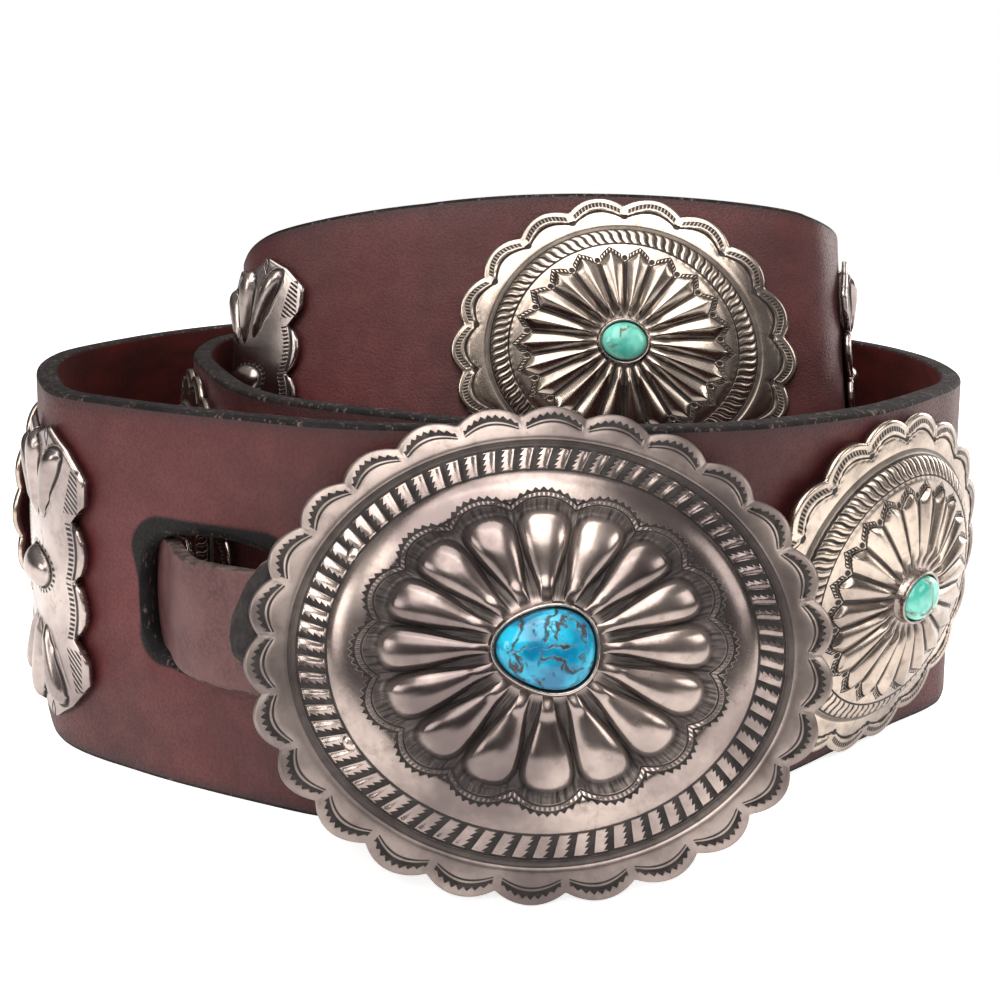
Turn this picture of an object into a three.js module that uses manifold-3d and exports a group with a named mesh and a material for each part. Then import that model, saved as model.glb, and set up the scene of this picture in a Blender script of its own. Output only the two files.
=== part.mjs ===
// Concho belt: a wide leather strap that carries silver plates, wound in a loose coil and standing on its edge.
// Lengths are in millimetres and angles in degrees. Z is up, and the coil's front faces -Y.
import * as THREE from "three";
import { mergeVertices } from "three/addons/utils/BufferGeometryUtils.js";
import Module from "manifold-3d";

const wasm = await Module();
wasm.setup();

// Strap and coil, measured to the grain side of the leather, which faces out
const STRAP_WIDTH = 75;
const STRAP_THICKNESS = 4.5;
const STRAP_BEVEL = 0.8;
const STRAP_STEP = 7.2;
const COIL_WIDTH = 224;
const COIL_DEPTH = 196;
const COIL_RISE = 42;
const COIL_LEAN = 12;
const LAYER_GAP = 1;
const SEAT_GAP = 0.3;
const PLATE_GAP = 0.8;

// Window near the strap's front end, which the buckle's tab comes out of
const WINDOW_FROM_END = 50;
const WINDOW_WIDTH = 33;
const WINDOW_HEIGHT = 26;
const WINDOW_BEVEL = 2.2;

// Buckle
const BUCKLE_WIDTH = 102;
const BUCKLE_HEIGHT = 83;
const BUCKLE_DOME = 11;
const BUCKLE_WALL = 1.8;
const BUCKLE_SCALLOPS = 26;
const BUCKLE_PETALS = 16;
const BUCKLE_LEAN = 18.5;
const BUCKLE_TURN = 3;
const BUCKLE_ACROSS = 8;
const BUCKLE_FOOT = 22;
const BAR_RADIUS = 2;
const BAR_LENGTH = 34;
const BAR_INSET = 19;
const BUCKLE_POST_RADIUS = 1.8;
const HOOK_RADIUS = 1.6;
const HOOK_LENGTH = 9;

// Tab that ties the buckle to the strap
const TAB_WIDTH = 22;
const TAB_THICKNESS = 2.8;
const TAB_STEP = 4;
const TAB_FOLD_LENGTH = 20;
const TAB_FOLD_RISE = 8;

// Conchos
const CONCHO_WIDTH = 83.5;
const CONCHO_HEIGHT = 72;
const CONCHO_DOME = 8.5;
const CONCHO_WALL = 1.2;
const CONCHO_SCALLOPS = 18;
const CONCHO_PETALS = 22;
const POST_RADIUS = 3.5;

// Butterfly plates between the conchos
const BUTTERFLY_WIDTH = 38;
const BUTTERFLY_HEIGHT = 62;
const BUTTERFLY_WALL = 1.4;
const LOBE_RELIEF = 3;
const LOBE_WIDTH = 8;
const LOBE_TAPER = 0.6;
const BUTTON_WIDTH = 11;
const BUTTON_HEIGHT = 7.2;

// Stones and the bezels that hold them
const BUCKLE_STONE_WIDTH = 17.2;
const BUCKLE_STONE_HEIGHT = 13.4;
const BUCKLE_STONE_DOME = 4.6;
const CONCHO_STONE_WIDTH = 11.6;
const CONCHO_STONE_HEIGHT = 9;
const CONCHO_STONE_DOME = 3.6;
const BEZEL_WALL = 0.7;
const BEZEL_HEIGHT = 1.9;

// Turns a table's rows into objects, one value for each named column.
function table(columns, rows) {
  return rows.map((row) => Object.fromEntries(columns.map((name, i) => [name, row[i]])));
}

// The coil seen from above, from the strap's front end to its tail inside the coil. Across and back are shares
// of half the coil's width and depth, rise and lean are shares of the coil's rise and lean, and a row
// with under 1 lies one layer of leather behind the front end.
const COIL = table(["across", "back", "under", "rise", "lean"], [
  [-0.054, -0.978, 0, 0, 0],
  [-0.268, -0.959, 0, 0, 0],
  [-0.429, -0.893, 0, 0, 0],
  [-0.634, -0.786, 0, 0, 0],
  [-0.804, -0.663, 0, 0, 0],
  [-0.88, -0.52, 0, 0, 0],
  [-0.96, -0.286, 0, 0, 0],
  [-0.987, -0.061, 0, 0, 0],
  [-0.946, 0.143, 0, 0, 0],
  [-0.848, 0.408, 0, 0, 0],
  [-0.696, 0.643, 0, 0, 0],
  [-0.375, 0.908, 0, 0, 0],
  [0, 1, 0, 0, 0],
  [0.429, 0.908, 0, 0, 0],
  [0.768, 0.633, 0, 0, 0],
  [0.938, 0.357, 0, 0, 0],
  [1, 0.082, 0, 0, 0],
  [0.982, -0.204, 0, 0, 0],
  [0.92, -0.388, 0, 0, 0],
  [0.804, -0.531, 0, 0, -0.3],
  [0.652, -0.694, 0, 0, -0.5],
  [0.42, -0.878, 0, 0, -0.35],
  [0.232, -0.949, 0, 0, -0.1],
  [-0.071, -0.964, 1, 0, 0],
  [-0.17, -0.913, 1, 0, 0],
  [-0.393, -0.714, 0, 0, 0],
  [-0.491, -0.592, 0, 0, 0],
  [-0.625, -0.265, 0, 0, 0],
  [-0.696, -0.01, 0, 0, 0],
  [-0.696, 0.316, 0, 0, 0],
  [-0.536, 0.612, 0, 0, 0],
  [0, 0.796, 0, 0, 0],
  [0.464, 0.653, 0, 0.3, 0],
  [0.732, 0.378, 0, 0.6, 0],
  [0.804, 0.092, 0, 0.72, 0.3],
  [0.696, -0.163, 0, 0.88, 0.8],
  [0.268, -0.143, 0, 1, 1],
  [-0.179, -0.133, 0, 0.93, 1],
  [-0.56, 0, 0, 0.7, 0.5],
  [-0.622, 0.18, 0, 0.53, 0.1],
  [-0.617, 0.36, 0, 0.43, -0.2],
  [-0.5, 0.54, 0, 0.33, -0.2],
  [-0.196, 0.612, 0, 0.25, 0],
]);

// The plates along the strap, each at a share of its length from the front end. Bend 0 leaves a plate straight,
// and 1 bends it to the strap's curve.
const PLATES = table(["kind", "place", "bend"], [
  ["butterfly", 0.075, 0.9],
  ["concho", 0.136, 0.4],
  ["butterfly", 0.207, 0.9],
  ["concho", 0.279, 0.4],
  ["butterfly", 0.351, 0.9],
  ["concho", 0.429, 0.4],
  ["butterfly", 0.483, 0.9],
  ["concho", 0.574, 0.4],
  ["butterfly", 0.646, 0.9],
  ["concho", 0.717, 0.4],
  ["butterfly", 0.79, 0.9],
  ["concho", 0.852, 1],
  ["butterfly", 0.928, 0.9],
]);

// Rings of the round plates from the middle out. Share is of the half sizes, height of the dome, lobes counts
// scallops or petals on the ring, notch is how far the outline dips between two lobes, and flute how far the
// silver dips there.
const RING_COLUMNS = ["share", "height", "corners", "lobes", "notch", "flute"];
const CONCHO_FRONT = table(RING_COLUMNS, [
  [0.21, 0.96, CONCHO_PETALS, 0, 0, 0],
  [0.56, 0.78, 2 * CONCHO_PETALS, CONCHO_PETALS, 0.1, 0.17],
  [0.78, 0.36, 2 * CONCHO_SCALLOPS, 0, 0, 0],
  [1, 0.16, 4 * CONCHO_SCALLOPS, CONCHO_SCALLOPS, 0.06, 0],
]);
const BUCKLE_FRONT = table(RING_COLUMNS, [
  [0.22, 0.95, 4 * BUCKLE_PETALS, BUCKLE_PETALS, 0, 0.02],
  [0.44, 0.98, 4 * BUCKLE_PETALS, BUCKLE_PETALS, 0.03, 0.3],
  [0.52, 0.7, 4 * BUCKLE_PETALS, BUCKLE_PETALS, 0.07, 0.06],
  [0.7, 0.5, 3 * BUCKLE_PETALS, 0, 0, 0],
  [0.79, 0.2, 3 * BUCKLE_PETALS, 0, 0, 0],
  [0.91, 0.18, 3 * BUCKLE_SCALLOPS, BUCKLE_SCALLOPS, 0.02, 0],
  [1, 0.16, 4 * BUCKLE_SCALLOPS, BUCKLE_SCALLOPS, 0.045, 0],
]);
const BACK_SHARES = [0.66, 0.21];
const BACK_CORNERS = 18;

// A quarter of a butterfly's outline, as shares of its half width and half height, from the waist to the tip.
const BUTTERFLY_QUARTER = table(["across", "up"], [
  [0.84, 0],
  [0.95, 0.09],
  [0.96, 0.24],
  [0.78, 0.39],
  [0.99, 0.52],
  [1, 0.68],
  [0.7, 0.87],
  [0.36, 1],
  [0.08, 0.94],
]);

// The raised lobes at each end of a butterfly, as shares of its half sizes: across and from are where a lobe's
// narrow end stands, to is where it ends, and splay is how far out its wide end turns.
const LOBES = table(["across", "from", "to", "splay"], [
  [-0.403, 0.4, 0.86, -0.1],
  [0, 0.38, 0.93, 0],
  [0.403, 0.4, 0.86, 0.1],
]);

const rad = THREE.MathUtils.degToRad;
const UP = new THREE.Vector3(0, 0, 1);

const leather = (color) => new THREE.MeshStandardMaterial({ color, roughness: 0.55, metalness: 0 });
const silver = () => new THREE.MeshStandardMaterial({ color: 0x9a9089, roughness: 0.35, metalness: 1 });
const turquoise = (color) => new THREE.MeshStandardMaterial({ color, roughness: 0.3, metalness: 0 });

// A mesh's triangles as a solid for joining and cutting, and back.
function solidOf(geometry) {
  const bare = geometry.clone().deleteAttribute("normal").deleteAttribute("uv");
  const merged = mergeVertices(bare, 1e-4);
  return new wasm.Manifold(new wasm.Mesh({
    numProp: 3,
    vertProperties: new Float32Array(merged.attributes.position.array),
    triVerts: new Uint32Array(merged.index.array),
  }));
}

function geometryOf(solid) {
  const mesh = solid.getMesh();
  const geometry = new THREE.BufferGeometry();
  geometry.setAttribute("position", new THREE.BufferAttribute(mesh.vertProperties, 3));
  geometry.setIndex(new THREE.BufferAttribute(mesh.triVerts, 1));
  return geometry;
}

function joined(first, ...others) {
  return geometryOf(others.reduce((whole, part) => whole.add(solidOf(part)), solidOf(first)));
}

// A closed skin through rings of points that all turn the same way, with a cap at each end. Two rings may have
// different counts: the triangles step along whichever ring is behind.
function skin(rings, firstCap, lastCap) {
  const points = [firstCap, ...rings.flat(), lastCap];
  const faces = [];
  const start = rings.map((_, k) => 1 + rings.slice(0, k).reduce((sum, ring) => sum + ring.length, 0));
  rings[0].forEach((_, i) => faces.push([0, 1 + i, 1 + ((i + 1) % rings[0].length)]));
  for (let k = 0; k + 1 < rings.length; k += 1) {
    const a = rings[k].length;
    const b = rings[k + 1].length;
    let i = 0;
    let j = 0;
    while (i < a || j < b) {
      const alongInner = j === b || (i < a && (i + 1) * b <= (j + 1) * a);
      const inner = start[k] + (i % a);
      const outer = start[k + 1] + (j % b);
      if (alongInner) {
        faces.push([inner, outer, start[k] + ((i + 1) % a)]);
        i += 1;
      } else {
        faces.push([inner, outer, start[k + 1] + ((j + 1) % b)]);
        j += 1;
      }
    }
  }
  const last = rings.length - 1;
  const end = points.length - 1;
  rings[last].forEach((_, i) => {
    faces.push([start[last] + ((i + 1) % rings[last].length), start[last] + i, end]);
  });
  const geometry = new THREE.BufferGeometry().setFromPoints(points);
  geometry.setIndex(faces.flat());
  return geometry;
}

// A ribbon of leather: a rectangle with its outer edges bevelled, lofted through frames. Each frame gives the
// place on the outer face at half height, the up and out directions, the width and the thickness.
function ribbon(frames, bevel) {
  const rings = frames.map(({ place, up, out, width, thickness }) => {
    const half = width / 2;
    const cut = Math.min(bevel, thickness / 3, half / 2);
    const corners = [
      [half - cut, 0], [cut - half, 0], [-half, -cut],
      [-half, -thickness], [half, -thickness], [half, -cut],
    ];
    return corners.map(([a, b]) => place.clone().addScaledVector(up, a).addScaledVector(out, b));
  });
  const middle = (ring) => ring.reduce((sum, p) => sum.add(p), new THREE.Vector3()).divideScalar(ring.length);
  return skin(rings, middle(rings[0]), middle(rings[rings.length - 1]));
}

// The strap's route through the coil's rows.
const route = new THREE.CatmullRomCurve3(COIL.map((row) => new THREE.Vector3(
  row.across * COIL_WIDTH / 2,
  row.back * COIL_DEPTH / 2 + row.under * (STRAP_THICKNESS + LAYER_GAP),
  row.rise * COIL_RISE,
)), false, "centripetal");
route.arcLengthDivisions = 1200;
const STRAP_LENGTH = route.getLength();

// Where the strap's grain side is at half its width, and which way it faces, at a distance from its front end.
function strapAt(distance) {
  const t = route.getUtoTmapping(Math.min(distance / STRAP_LENGTH, 1));
  const along = t * (COIL.length - 1);
  const row = Math.min(Math.floor(along), COIL.length - 2);
  const lean = rad(COIL_LEAN * THREE.MathUtils.lerp(COIL[row].lean, COIL[row + 1].lean, along - row));
  const travel = route.getTangent(t).setZ(0).normalize();
  const level = new THREE.Vector3(-travel.y, travel.x, 0);
  const up = UP.clone().multiplyScalar(Math.cos(lean)).addScaledVector(level, -Math.sin(lean));
  const out = level.clone().multiplyScalar(Math.cos(lean)).addScaledVector(UP, Math.sin(lean));
  const place = route.getPoint(t);
  const lowest = Math.max(place.z, 0);
  place.z = lowest + STRAP_WIDTH / 2 * Math.cos(lean) + STRAP_THICKNESS * Math.max(Math.sin(lean), 0);
  return { place, up, out, travel, width: STRAP_WIDTH, thickness: STRAP_THICKNESS };
}

// A piece on the strap's grain side, with its own X to the right as seen from outside.
function bentOnStrap(geometry, distance, gap, bend) {
  const spots = geometry.attributes.position;
  const straight = seatOn(strapAt(distance), gap);
  for (let i = 0; i < spots.count; i += 1) {
    const point = new THREE.Vector3().fromBufferAttribute(spots, i);
    const { place, up, out } = strapAt(distance - point.x);
    place.addScaledVector(up, point.y).addScaledVector(out, point.z + gap);
    point.applyMatrix4(straight).lerp(place, bend);
    spots.setXYZ(i, point.x, point.y, point.z);
  }
  return geometry;
}

// The placement of a straight piece on the strap's grain side.
function seatOn(frame, gap) {
  const right = new THREE.Vector3().crossVectors(frame.up, frame.out);
  const place = frame.place.clone().addScaledVector(frame.out, gap);
  return new THREE.Matrix4().makeBasis(right, frame.up, frame.out).setPosition(place);
}

// The window's cutter: a rounded rectangle that widens towards the grain side, so its border is bevelled.
function windowCutter() {
  const outline = (margin) => {
    const shape = new THREE.Shape();
    const w = WINDOW_WIDTH / 2 + margin;
    const h = WINDOW_HEIGHT / 2 + margin;
    const r = WINDOW_HEIGHT / 6 + margin;
    shape.moveTo(w, -h + r).lineTo(w, h - r).absarc(w - r, h - r, r, 0, Math.PI / 2);
    shape.absarc(-w + r, h - r, r, Math.PI / 2, Math.PI).absarc(-w + r, -h + r, r, Math.PI, 1.5 * Math.PI);
    shape.absarc(w - r, -h + r, r, 1.5 * Math.PI, 2 * Math.PI);
    return shape.extractPoints(4).shape.slice(0, -1);
  };
  const reach = 3;
  const level = (margin, z) => outline(margin).map((p) => new THREE.Vector3(p.x, p.y, z));
  const front = level(WINDOW_BEVEL + reach, reach);
  const middle = level(0, -WINDOW_BEVEL);
  const back = level(0, -STRAP_THICKNESS - reach);
  const cap = (z) => new THREE.Vector3(0, 0, z);
  return skin([front, middle, back], cap(reach), cap(-STRAP_THICKNESS - reach));
}

// The strap: one long piece of leather with the window cut through it.
function strapGeometry() {
  const steps = Math.ceil(STRAP_LENGTH / STRAP_STEP);
  const frames = Array.from({ length: steps + 1 }, (_, i) => strapAt(STRAP_LENGTH * i / steps));
  const cutter = windowCutter().applyMatrix4(seatOn(strapAt(WINDOW_FROM_END), 0));
  return geometryOf(solidOf(ribbon(frames, STRAP_BEVEL)).subtract(solidOf(cutter)));
}

// A ring of a round plate: its outline dips between lobes, and its silver with it. A lobe's crest is at angle 0.
function plateRing(row, halfWidth, halfHeight, dome) {
  return Array.from({ length: row.corners }, (_, i) => {
    const angle = 2 * Math.PI * (i + 0.5) / row.corners;
    const inLobe = ((angle * row.lobes) / (2 * Math.PI) + 0.5) % 1;
    const dip = row.lobes ? (2 * inLobe - 1) ** 2 : 0;
    const share = row.share * (1 - row.notch * dip);
    const z = dome * (row.height - row.flute * dip);
    return new THREE.Vector3(halfWidth * share * Math.cos(angle), halfHeight * share * Math.sin(angle), z);
  });
}

// The height of a round plate's silver at a share of its half sizes, in the dips between its lobes.
function silverHeight(front, dome, share) {
  const outer = front.findIndex((row) => row.share >= share);
  const [a, b] = [front[Math.max(outer - 1, 0)], front[outer]];
  const blend = a === b ? 0 : (share - a.share) / (b.share - a.share);
  return dome * THREE.MathUtils.lerp(a.height - a.flute, b.height - b.flute, blend);
}

// A round plate of raised sheet silver, hollow behind, with its rim's back at height 0.
function plateGeometry(front, width, height, dome, wall) {
  const faces = front.map((row) => plateRing(row, width / 2, height / 2, dome));
  const rimBack = plateRing(front[front.length - 1], width / 2, height / 2, 0);
  const under = (share) => silverHeight(front, dome, share) - wall;
  const backs = BACK_SHARES.map((share) => plateRing(
    { share, height: under(share), corners: BACK_CORNERS, lobes: 0, notch: 0, flute: 0 },
    width / 2, height / 2, 1,
  ));
  const cap = (z) => new THREE.Vector3(0, 0, z);
  return skin(
    [...faces, rimBack, ...backs],
    cap(dome * front[0].height),
    cap(under(BACK_SHARES[BACK_SHARES.length - 1])),
  );
}

// A stone's outline, an oval that bulges at three corners where the stone is a free form.
function stoneOutline(width, height, freeform, corners) {
  return Array.from({ length: corners }, (_, i) => {
    const angle = 2 * Math.PI * (i + 0.5) / corners;
    const swell = 1 + freeform * Math.cos(3 * (angle - Math.PI / 2));
    return new THREE.Vector2(width / 2 * swell * Math.cos(angle), height / 2 * swell * Math.sin(angle));
  });
}

const STONE_CORNERS = 12;
const STONE_LEVELS = table(["share", "height"], [[1, 0], [1, 0.3], [0.84, 0.72], [0.48, 0.95]]);

// A domed stone with a flat back at height 0.
function stoneGeometry(width, height, dome, freeform) {
  const outline = stoneOutline(width, height, freeform, STONE_CORNERS);
  const rings = STONE_LEVELS.map((level) => outline.map((p) => (
    new THREE.Vector3(p.x * level.share, p.y * level.share, dome * level.height)
  )));
  return skin(rings.reverse(), new THREE.Vector3(0, 0, dome), new THREE.Vector3(0, 0, 0));
}

// The bezel that a stone of this size sits in, from a depth below its seat to its lip.
function bezelGeometry(width, height, freeform, depth) {
  const inner = stoneOutline(width + 2 * SEAT_GAP, height + 2 * SEAT_GAP, freeform, STONE_CORNERS);
  const wall = 2 * (SEAT_GAP + BEZEL_WALL);
  const outer = stoneOutline(width + wall, height + wall, freeform, STONE_CORNERS);
  const shape = new THREE.Shape(outer);
  shape.holes.push(new THREE.Path(inner));
  const bezel = new THREE.ExtrudeGeometry(shape, { depth: depth + BEZEL_HEIGHT, bevelEnabled: false });
  return bezel.translate(0, 0, -depth);
}

// A plain round rod between two points.
function rod(from, to, radius, sides) {
  const length = from.distanceTo(to);
  const turn = new THREE.Quaternion().setFromUnitVectors(
    new THREE.Vector3(0, 1, 0),
    to.clone().sub(from).normalize(),
  );
  const middle = from.clone().lerp(to, 0.5);
  return new THREE.CylinderGeometry(radius, radius, length, sides)
    .applyMatrix4(new THREE.Matrix4().compose(middle, turn, new THREE.Vector3(1, 1, 1)));
}

// A concho: the raised plate, its bezel, and the post behind it that meets the leather.
const CONCHO_SEAT = CONCHO_DOME * CONCHO_FRONT[0].height;
function conchoGeometry() {
  const plate = plateGeometry(CONCHO_FRONT, CONCHO_WIDTH, CONCHO_HEIGHT, CONCHO_DOME, CONCHO_WALL);
  const bezel = bezelGeometry(CONCHO_STONE_WIDTH, CONCHO_STONE_HEIGHT, 0, CONCHO_WALL / 2);
  const post = rod(
    new THREE.Vector3(0, 0, 0),
    new THREE.Vector3(0, 0, CONCHO_SEAT - CONCHO_WALL / 2),
    POST_RADIUS, 8,
  );
  return joined(plate, bezel.translate(0, 0, CONCHO_SEAT), post);
}

const BUTTERFLY_INNER_SHARE = 0.48;
const BUTTERFLY_INNER_CORNERS = 14;

// A butterfly: a flat plate with pointed ends, three raised lobes at each end and a button in the middle.
function butterflyGeometry() {
  const halfWidth = BUTTERFLY_WIDTH / 2;
  const halfHeight = BUTTERFLY_HEIGHT / 2;
  const quarter = BUTTERFLY_QUARTER.map((row) => [row.across * halfWidth, row.up * halfHeight]);
  const side = [...quarter.slice(1).reverse().map(([x, y]) => [x, -y]), ...quarter];
  const outline = [...side, ...side.map(([x, y]) => [-x, -y])];
  const edge = (z) => outline.map(([x, y]) => new THREE.Vector3(x, y, z));
  const inner = (z) => Array.from({ length: BUTTERFLY_INNER_CORNERS }, (_, i) => {
    const [x, y] = outline[Math.round(i * outline.length / BUTTERFLY_INNER_CORNERS) % outline.length];
    return new THREE.Vector3(x * BUTTERFLY_INNER_SHARE, y * BUTTERFLY_INNER_SHARE, z);
  });
  const plate = skin(
    [inner(BUTTERFLY_WALL), edge(BUTTERFLY_WALL), edge(0), inner(0)],
    new THREE.Vector3(0, 0, BUTTERFLY_WALL),
    new THREE.Vector3(0, 0, 0),
  );
  const raised = (width, height, sides, rows, taper, lean) => {
    const ball = new THREE.SphereGeometry(1, sides, rows);
    const spots = ball.attributes.position;
    for (let i = 0; i < spots.count; i += 1) {
      const y = spots.getY(i);
      const z = spots.getZ(i);
      const narrow = 1 - taper * (1 - y) / 2;
      spots.setXYZ(
        i,
        width / 2 * spots.getX(i) * narrow + lean * (y + 1) / 2,
        height / 2 * y,
        z > 0 ? LOBE_RELIEF * z * narrow : BUTTERFLY_WALL / 2 * z,
      );
    }
    return ball;
  };
  const lobes = [1, -1].flatMap((end) => LOBES.map((lobe) => {
    const length = (lobe.to - lobe.from) * halfHeight;
    const shape = raised(LOBE_WIDTH, length, 6, 4, LOBE_TAPER, lobe.splay * halfWidth);
    shape.translate(lobe.across * halfWidth, (lobe.from + lobe.to) / 2 * halfHeight, BUTTERFLY_WALL);
    return end > 0 ? shape : shape.rotateZ(Math.PI);
  }));
  const button = raised(BUTTON_WIDTH, BUTTON_HEIGHT, 8, 4, 0, 0).translate(0, 0, BUTTERFLY_WALL);
  return joined(plate, ...lobes, button);
}

// The buckle's placement: it stands on its lower edge and leans back against the strap's front.
const buckleTurn = new THREE.Matrix4().makeRotationZ(rad(BUCKLE_TURN))
  .multiply(new THREE.Matrix4().makeRotationX(rad(90 - BUCKLE_LEAN)));
const leanDepth = BUCKLE_HEIGHT / 2 * Math.sin(rad(BUCKLE_LEAN));
const bucklePlace = new THREE.Matrix4()
  .makeTranslation(
    BUCKLE_ACROSS,
    -COIL_DEPTH / 2 - BUCKLE_FOOT + leanDepth,
    BUCKLE_HEIGHT / 2 * Math.cos(rad(BUCKLE_LEAN)),
  )
  .multiply(buckleTurn);

// The bar stands behind the plate, far enough for the tab to pass between them.
const TAB_CLEARANCE = 0.5;
const BAR_ACROSS = BAR_INSET - BUCKLE_WIDTH / 2;
const BAR_DEPTH = -(BAR_RADIUS + TAB_THICKNESS + 2 * TAB_CLEARANCE);
const BUCKLE_SEAT = BUCKLE_DOME * BUCKLE_FRONT[0].height;
const BUCKLE_FREEFORM = 0.055;

// The buckle: the plate, its bezel, the bar on two posts at the left, and a plain hook at the right.
function buckleGeometry() {
  const plate = plateGeometry(BUCKLE_FRONT, BUCKLE_WIDTH, BUCKLE_HEIGHT, BUCKLE_DOME, BUCKLE_WALL);
  const bezel = bezelGeometry(BUCKLE_STONE_WIDTH, BUCKLE_STONE_HEIGHT, BUCKLE_FREEFORM, BUCKLE_WALL / 2);
  const at = (x, y, z) => new THREE.Vector3(x, y, z);
  const half = BAR_LENGTH / 2;
  const bar = rod(at(BAR_ACROSS, -half, BAR_DEPTH), at(BAR_ACROSS, half, BAR_DEPTH), BAR_RADIUS, 8);
  const root = (x, y) => {
    const share = Math.hypot(2 * x / BUCKLE_WIDTH, 2 * y / BUCKLE_HEIGHT);
    return at(x, y, silverHeight(BUCKLE_FRONT, BUCKLE_DOME, share) - BUCKLE_WALL / 3);
  };
  const posts = [-1, 1].map((side) => {
    const y = side * (half - BAR_RADIUS);
    return rod(at(BAR_ACROSS, y, BAR_DEPTH), root(BAR_ACROSS, y), BUCKLE_POST_RADIUS, 8);
  });
  const stem = rod(at(-BAR_ACROSS, 0, BAR_DEPTH), root(-BAR_ACROSS, 0), BUCKLE_POST_RADIUS, 8);
  const hook = rod(
    at(-BAR_ACROSS + HOOK_RADIUS, 0, BAR_DEPTH),
    at(-BAR_ACROSS - HOOK_LENGTH, 0, BAR_DEPTH),
    HOOK_RADIUS, 8,
  );
  return joined(plate, bezel.translate(0, 0, BUCKLE_SEAT), bar, ...posts, stem, hook);
}

// The tab: from the leather's flesh side out through the window, round the bar and back over itself.
function tabGeometry() {
  const behind = -(STRAP_THICKNESS + SEAT_GAP + TAB_THICKNESS / 2);
  const nearStrap = (distance, offset) => {
    const frame = strapAt(distance);
    return { place: frame.place.clone().addScaledVector(frame.out, offset), up: frame.up, width: 1 };
  };
  const barUp = new THREE.Vector3(0, 1, 0).transformDirection(bucklePlace);
  const nearBar = (x, y, z, width = 1) => ({
    place: new THREE.Vector3(BAR_ACROSS + x, y, BAR_DEPTH + z).applyMatrix4(bucklePlace),
    up: barUp,
    width,
  });
  const round = BAR_RADIUS + TAB_CLEARANCE + TAB_THICKNESS / 2;
  const turn = (angle) => nearBar(round * Math.cos(rad(angle)), 0, round * Math.sin(rad(angle)));
  const fold = (share, width) => nearBar(-TAB_FOLD_LENGTH * share, TAB_FOLD_RISE * share, round, width);
  const stops = [
    nearStrap(WINDOW_FROM_END + 1.35 * WINDOW_WIDTH, behind),
    nearStrap(WINDOW_FROM_END + 0.95 * WINDOW_WIDTH, behind),
    nearStrap(WINDOW_FROM_END + 0.54 * WINDOW_WIDTH, behind),
    nearStrap(WINDOW_FROM_END + 0.2 * WINDOW_WIDTH, -0.6 * STRAP_THICKNESS),
    nearStrap(WINDOW_FROM_END - 0.1 * WINDOW_WIDTH, 2.5 * TAB_THICKNESS),
    turn(-115),
    turn(-70),
    turn(-20),
    turn(30),
    turn(75),
    fold(0.2, 1),
    fold(0.62, 1),
    fold(0.86, 0.86),
    fold(0.96, 0.6),
    fold(1, 0.3),
  ];
  const line = new THREE.CatmullRomCurve3(stops.map((stop) => stop.place), false, "centripetal");
  line.arcLengthDivisions = 400;
  const steps = Math.ceil(line.getLength() / TAB_STEP);
  const frames = Array.from({ length: steps + 1 }, (_, i) => {
    const t = line.getUtoTmapping(i / steps);
    const along = t * (stops.length - 1);
    const k = Math.min(Math.floor(along), stops.length - 2);
    const lean = stops[k].up.clone().lerp(stops[k + 1].up, along - k);
    const travel = line.getTangent(t);
    const up = lean.addScaledVector(travel, -lean.dot(travel)).normalize();
    const out = new THREE.Vector3().crossVectors(up, travel);
    const place = line.getPoint(t).addScaledVector(out, TAB_THICKNESS / 2);
    const width = TAB_WIDTH * THREE.MathUtils.lerp(stops[k].width, stops[k + 1].width, along - k);
    return { place, up, out, width, thickness: TAB_THICKNESS };
  });
  return ribbon(frames, STRAP_BEVEL);
}

const belt = new THREE.Group();

function add(name, geometry, material, placement) {
  const piece = new THREE.Mesh(geometry, material);
  piece.name = name;
  if (placement) {
    piece.applyMatrix4(placement);
  }
  belt.add(piece);
}

add("strap", strapGeometry(), leather(0x4a1c1c));
add("buckle_tab", tabGeometry(), leather(0x6b3b36));
add("buckle", buckleGeometry(), silver(), bucklePlace);
add(
  "buckle_stone",
  stoneGeometry(BUCKLE_STONE_WIDTH, BUCKLE_STONE_HEIGHT, BUCKLE_STONE_DOME, BUCKLE_FREEFORM),
  turquoise(0x2aa6cf),
  bucklePlace.clone().multiply(new THREE.Matrix4().makeTranslation(0, 0, BUCKLE_SEAT + SEAT_GAP)),
);

const counts = { concho: 0, butterfly: 0 };
PLATES.forEach(({ kind, place, bend }) => {
  counts[kind] += 1;
  const number = counts[kind];
  const distance = place * STRAP_LENGTH;
  if (kind === "butterfly") {
    add(`butterfly_${number}`, bentOnStrap(butterflyGeometry(), distance, PLATE_GAP, bend), silver());
    return;
  }
  add(`concho_${number}`, bentOnStrap(conchoGeometry(), distance, PLATE_GAP, bend), silver());
  const stone = stoneGeometry(CONCHO_STONE_WIDTH, CONCHO_STONE_HEIGHT, CONCHO_STONE_DOME, 0);
  stone.translate(0, 0, CONCHO_SEAT + SEAT_GAP);
  add(`concho_stone_${number}`, bentOnStrap(stone, distance, PLATE_GAP, bend), turquoise(0x4fb3a5));
});

// The origin is under the middle of the whole belt, on the surface that it stands on.
belt.updateMatrixWorld(true);
const reach = new THREE.Box3().setFromObject(belt, true);
const centre = reach.getCenter(new THREE.Vector3());
belt.position.set(-centre.x, -centre.y, -reach.min.z);

export default belt;
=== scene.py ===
# A concho belt coiled on its edge: an oxblood leather strap with silver conchos, butterflies and a buckle.
from math import copysign, cos, exp, hypot, pi, radians, sin, sqrt

import bmesh
import bpy
from mathutils import Matrix, Vector, noise


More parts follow.
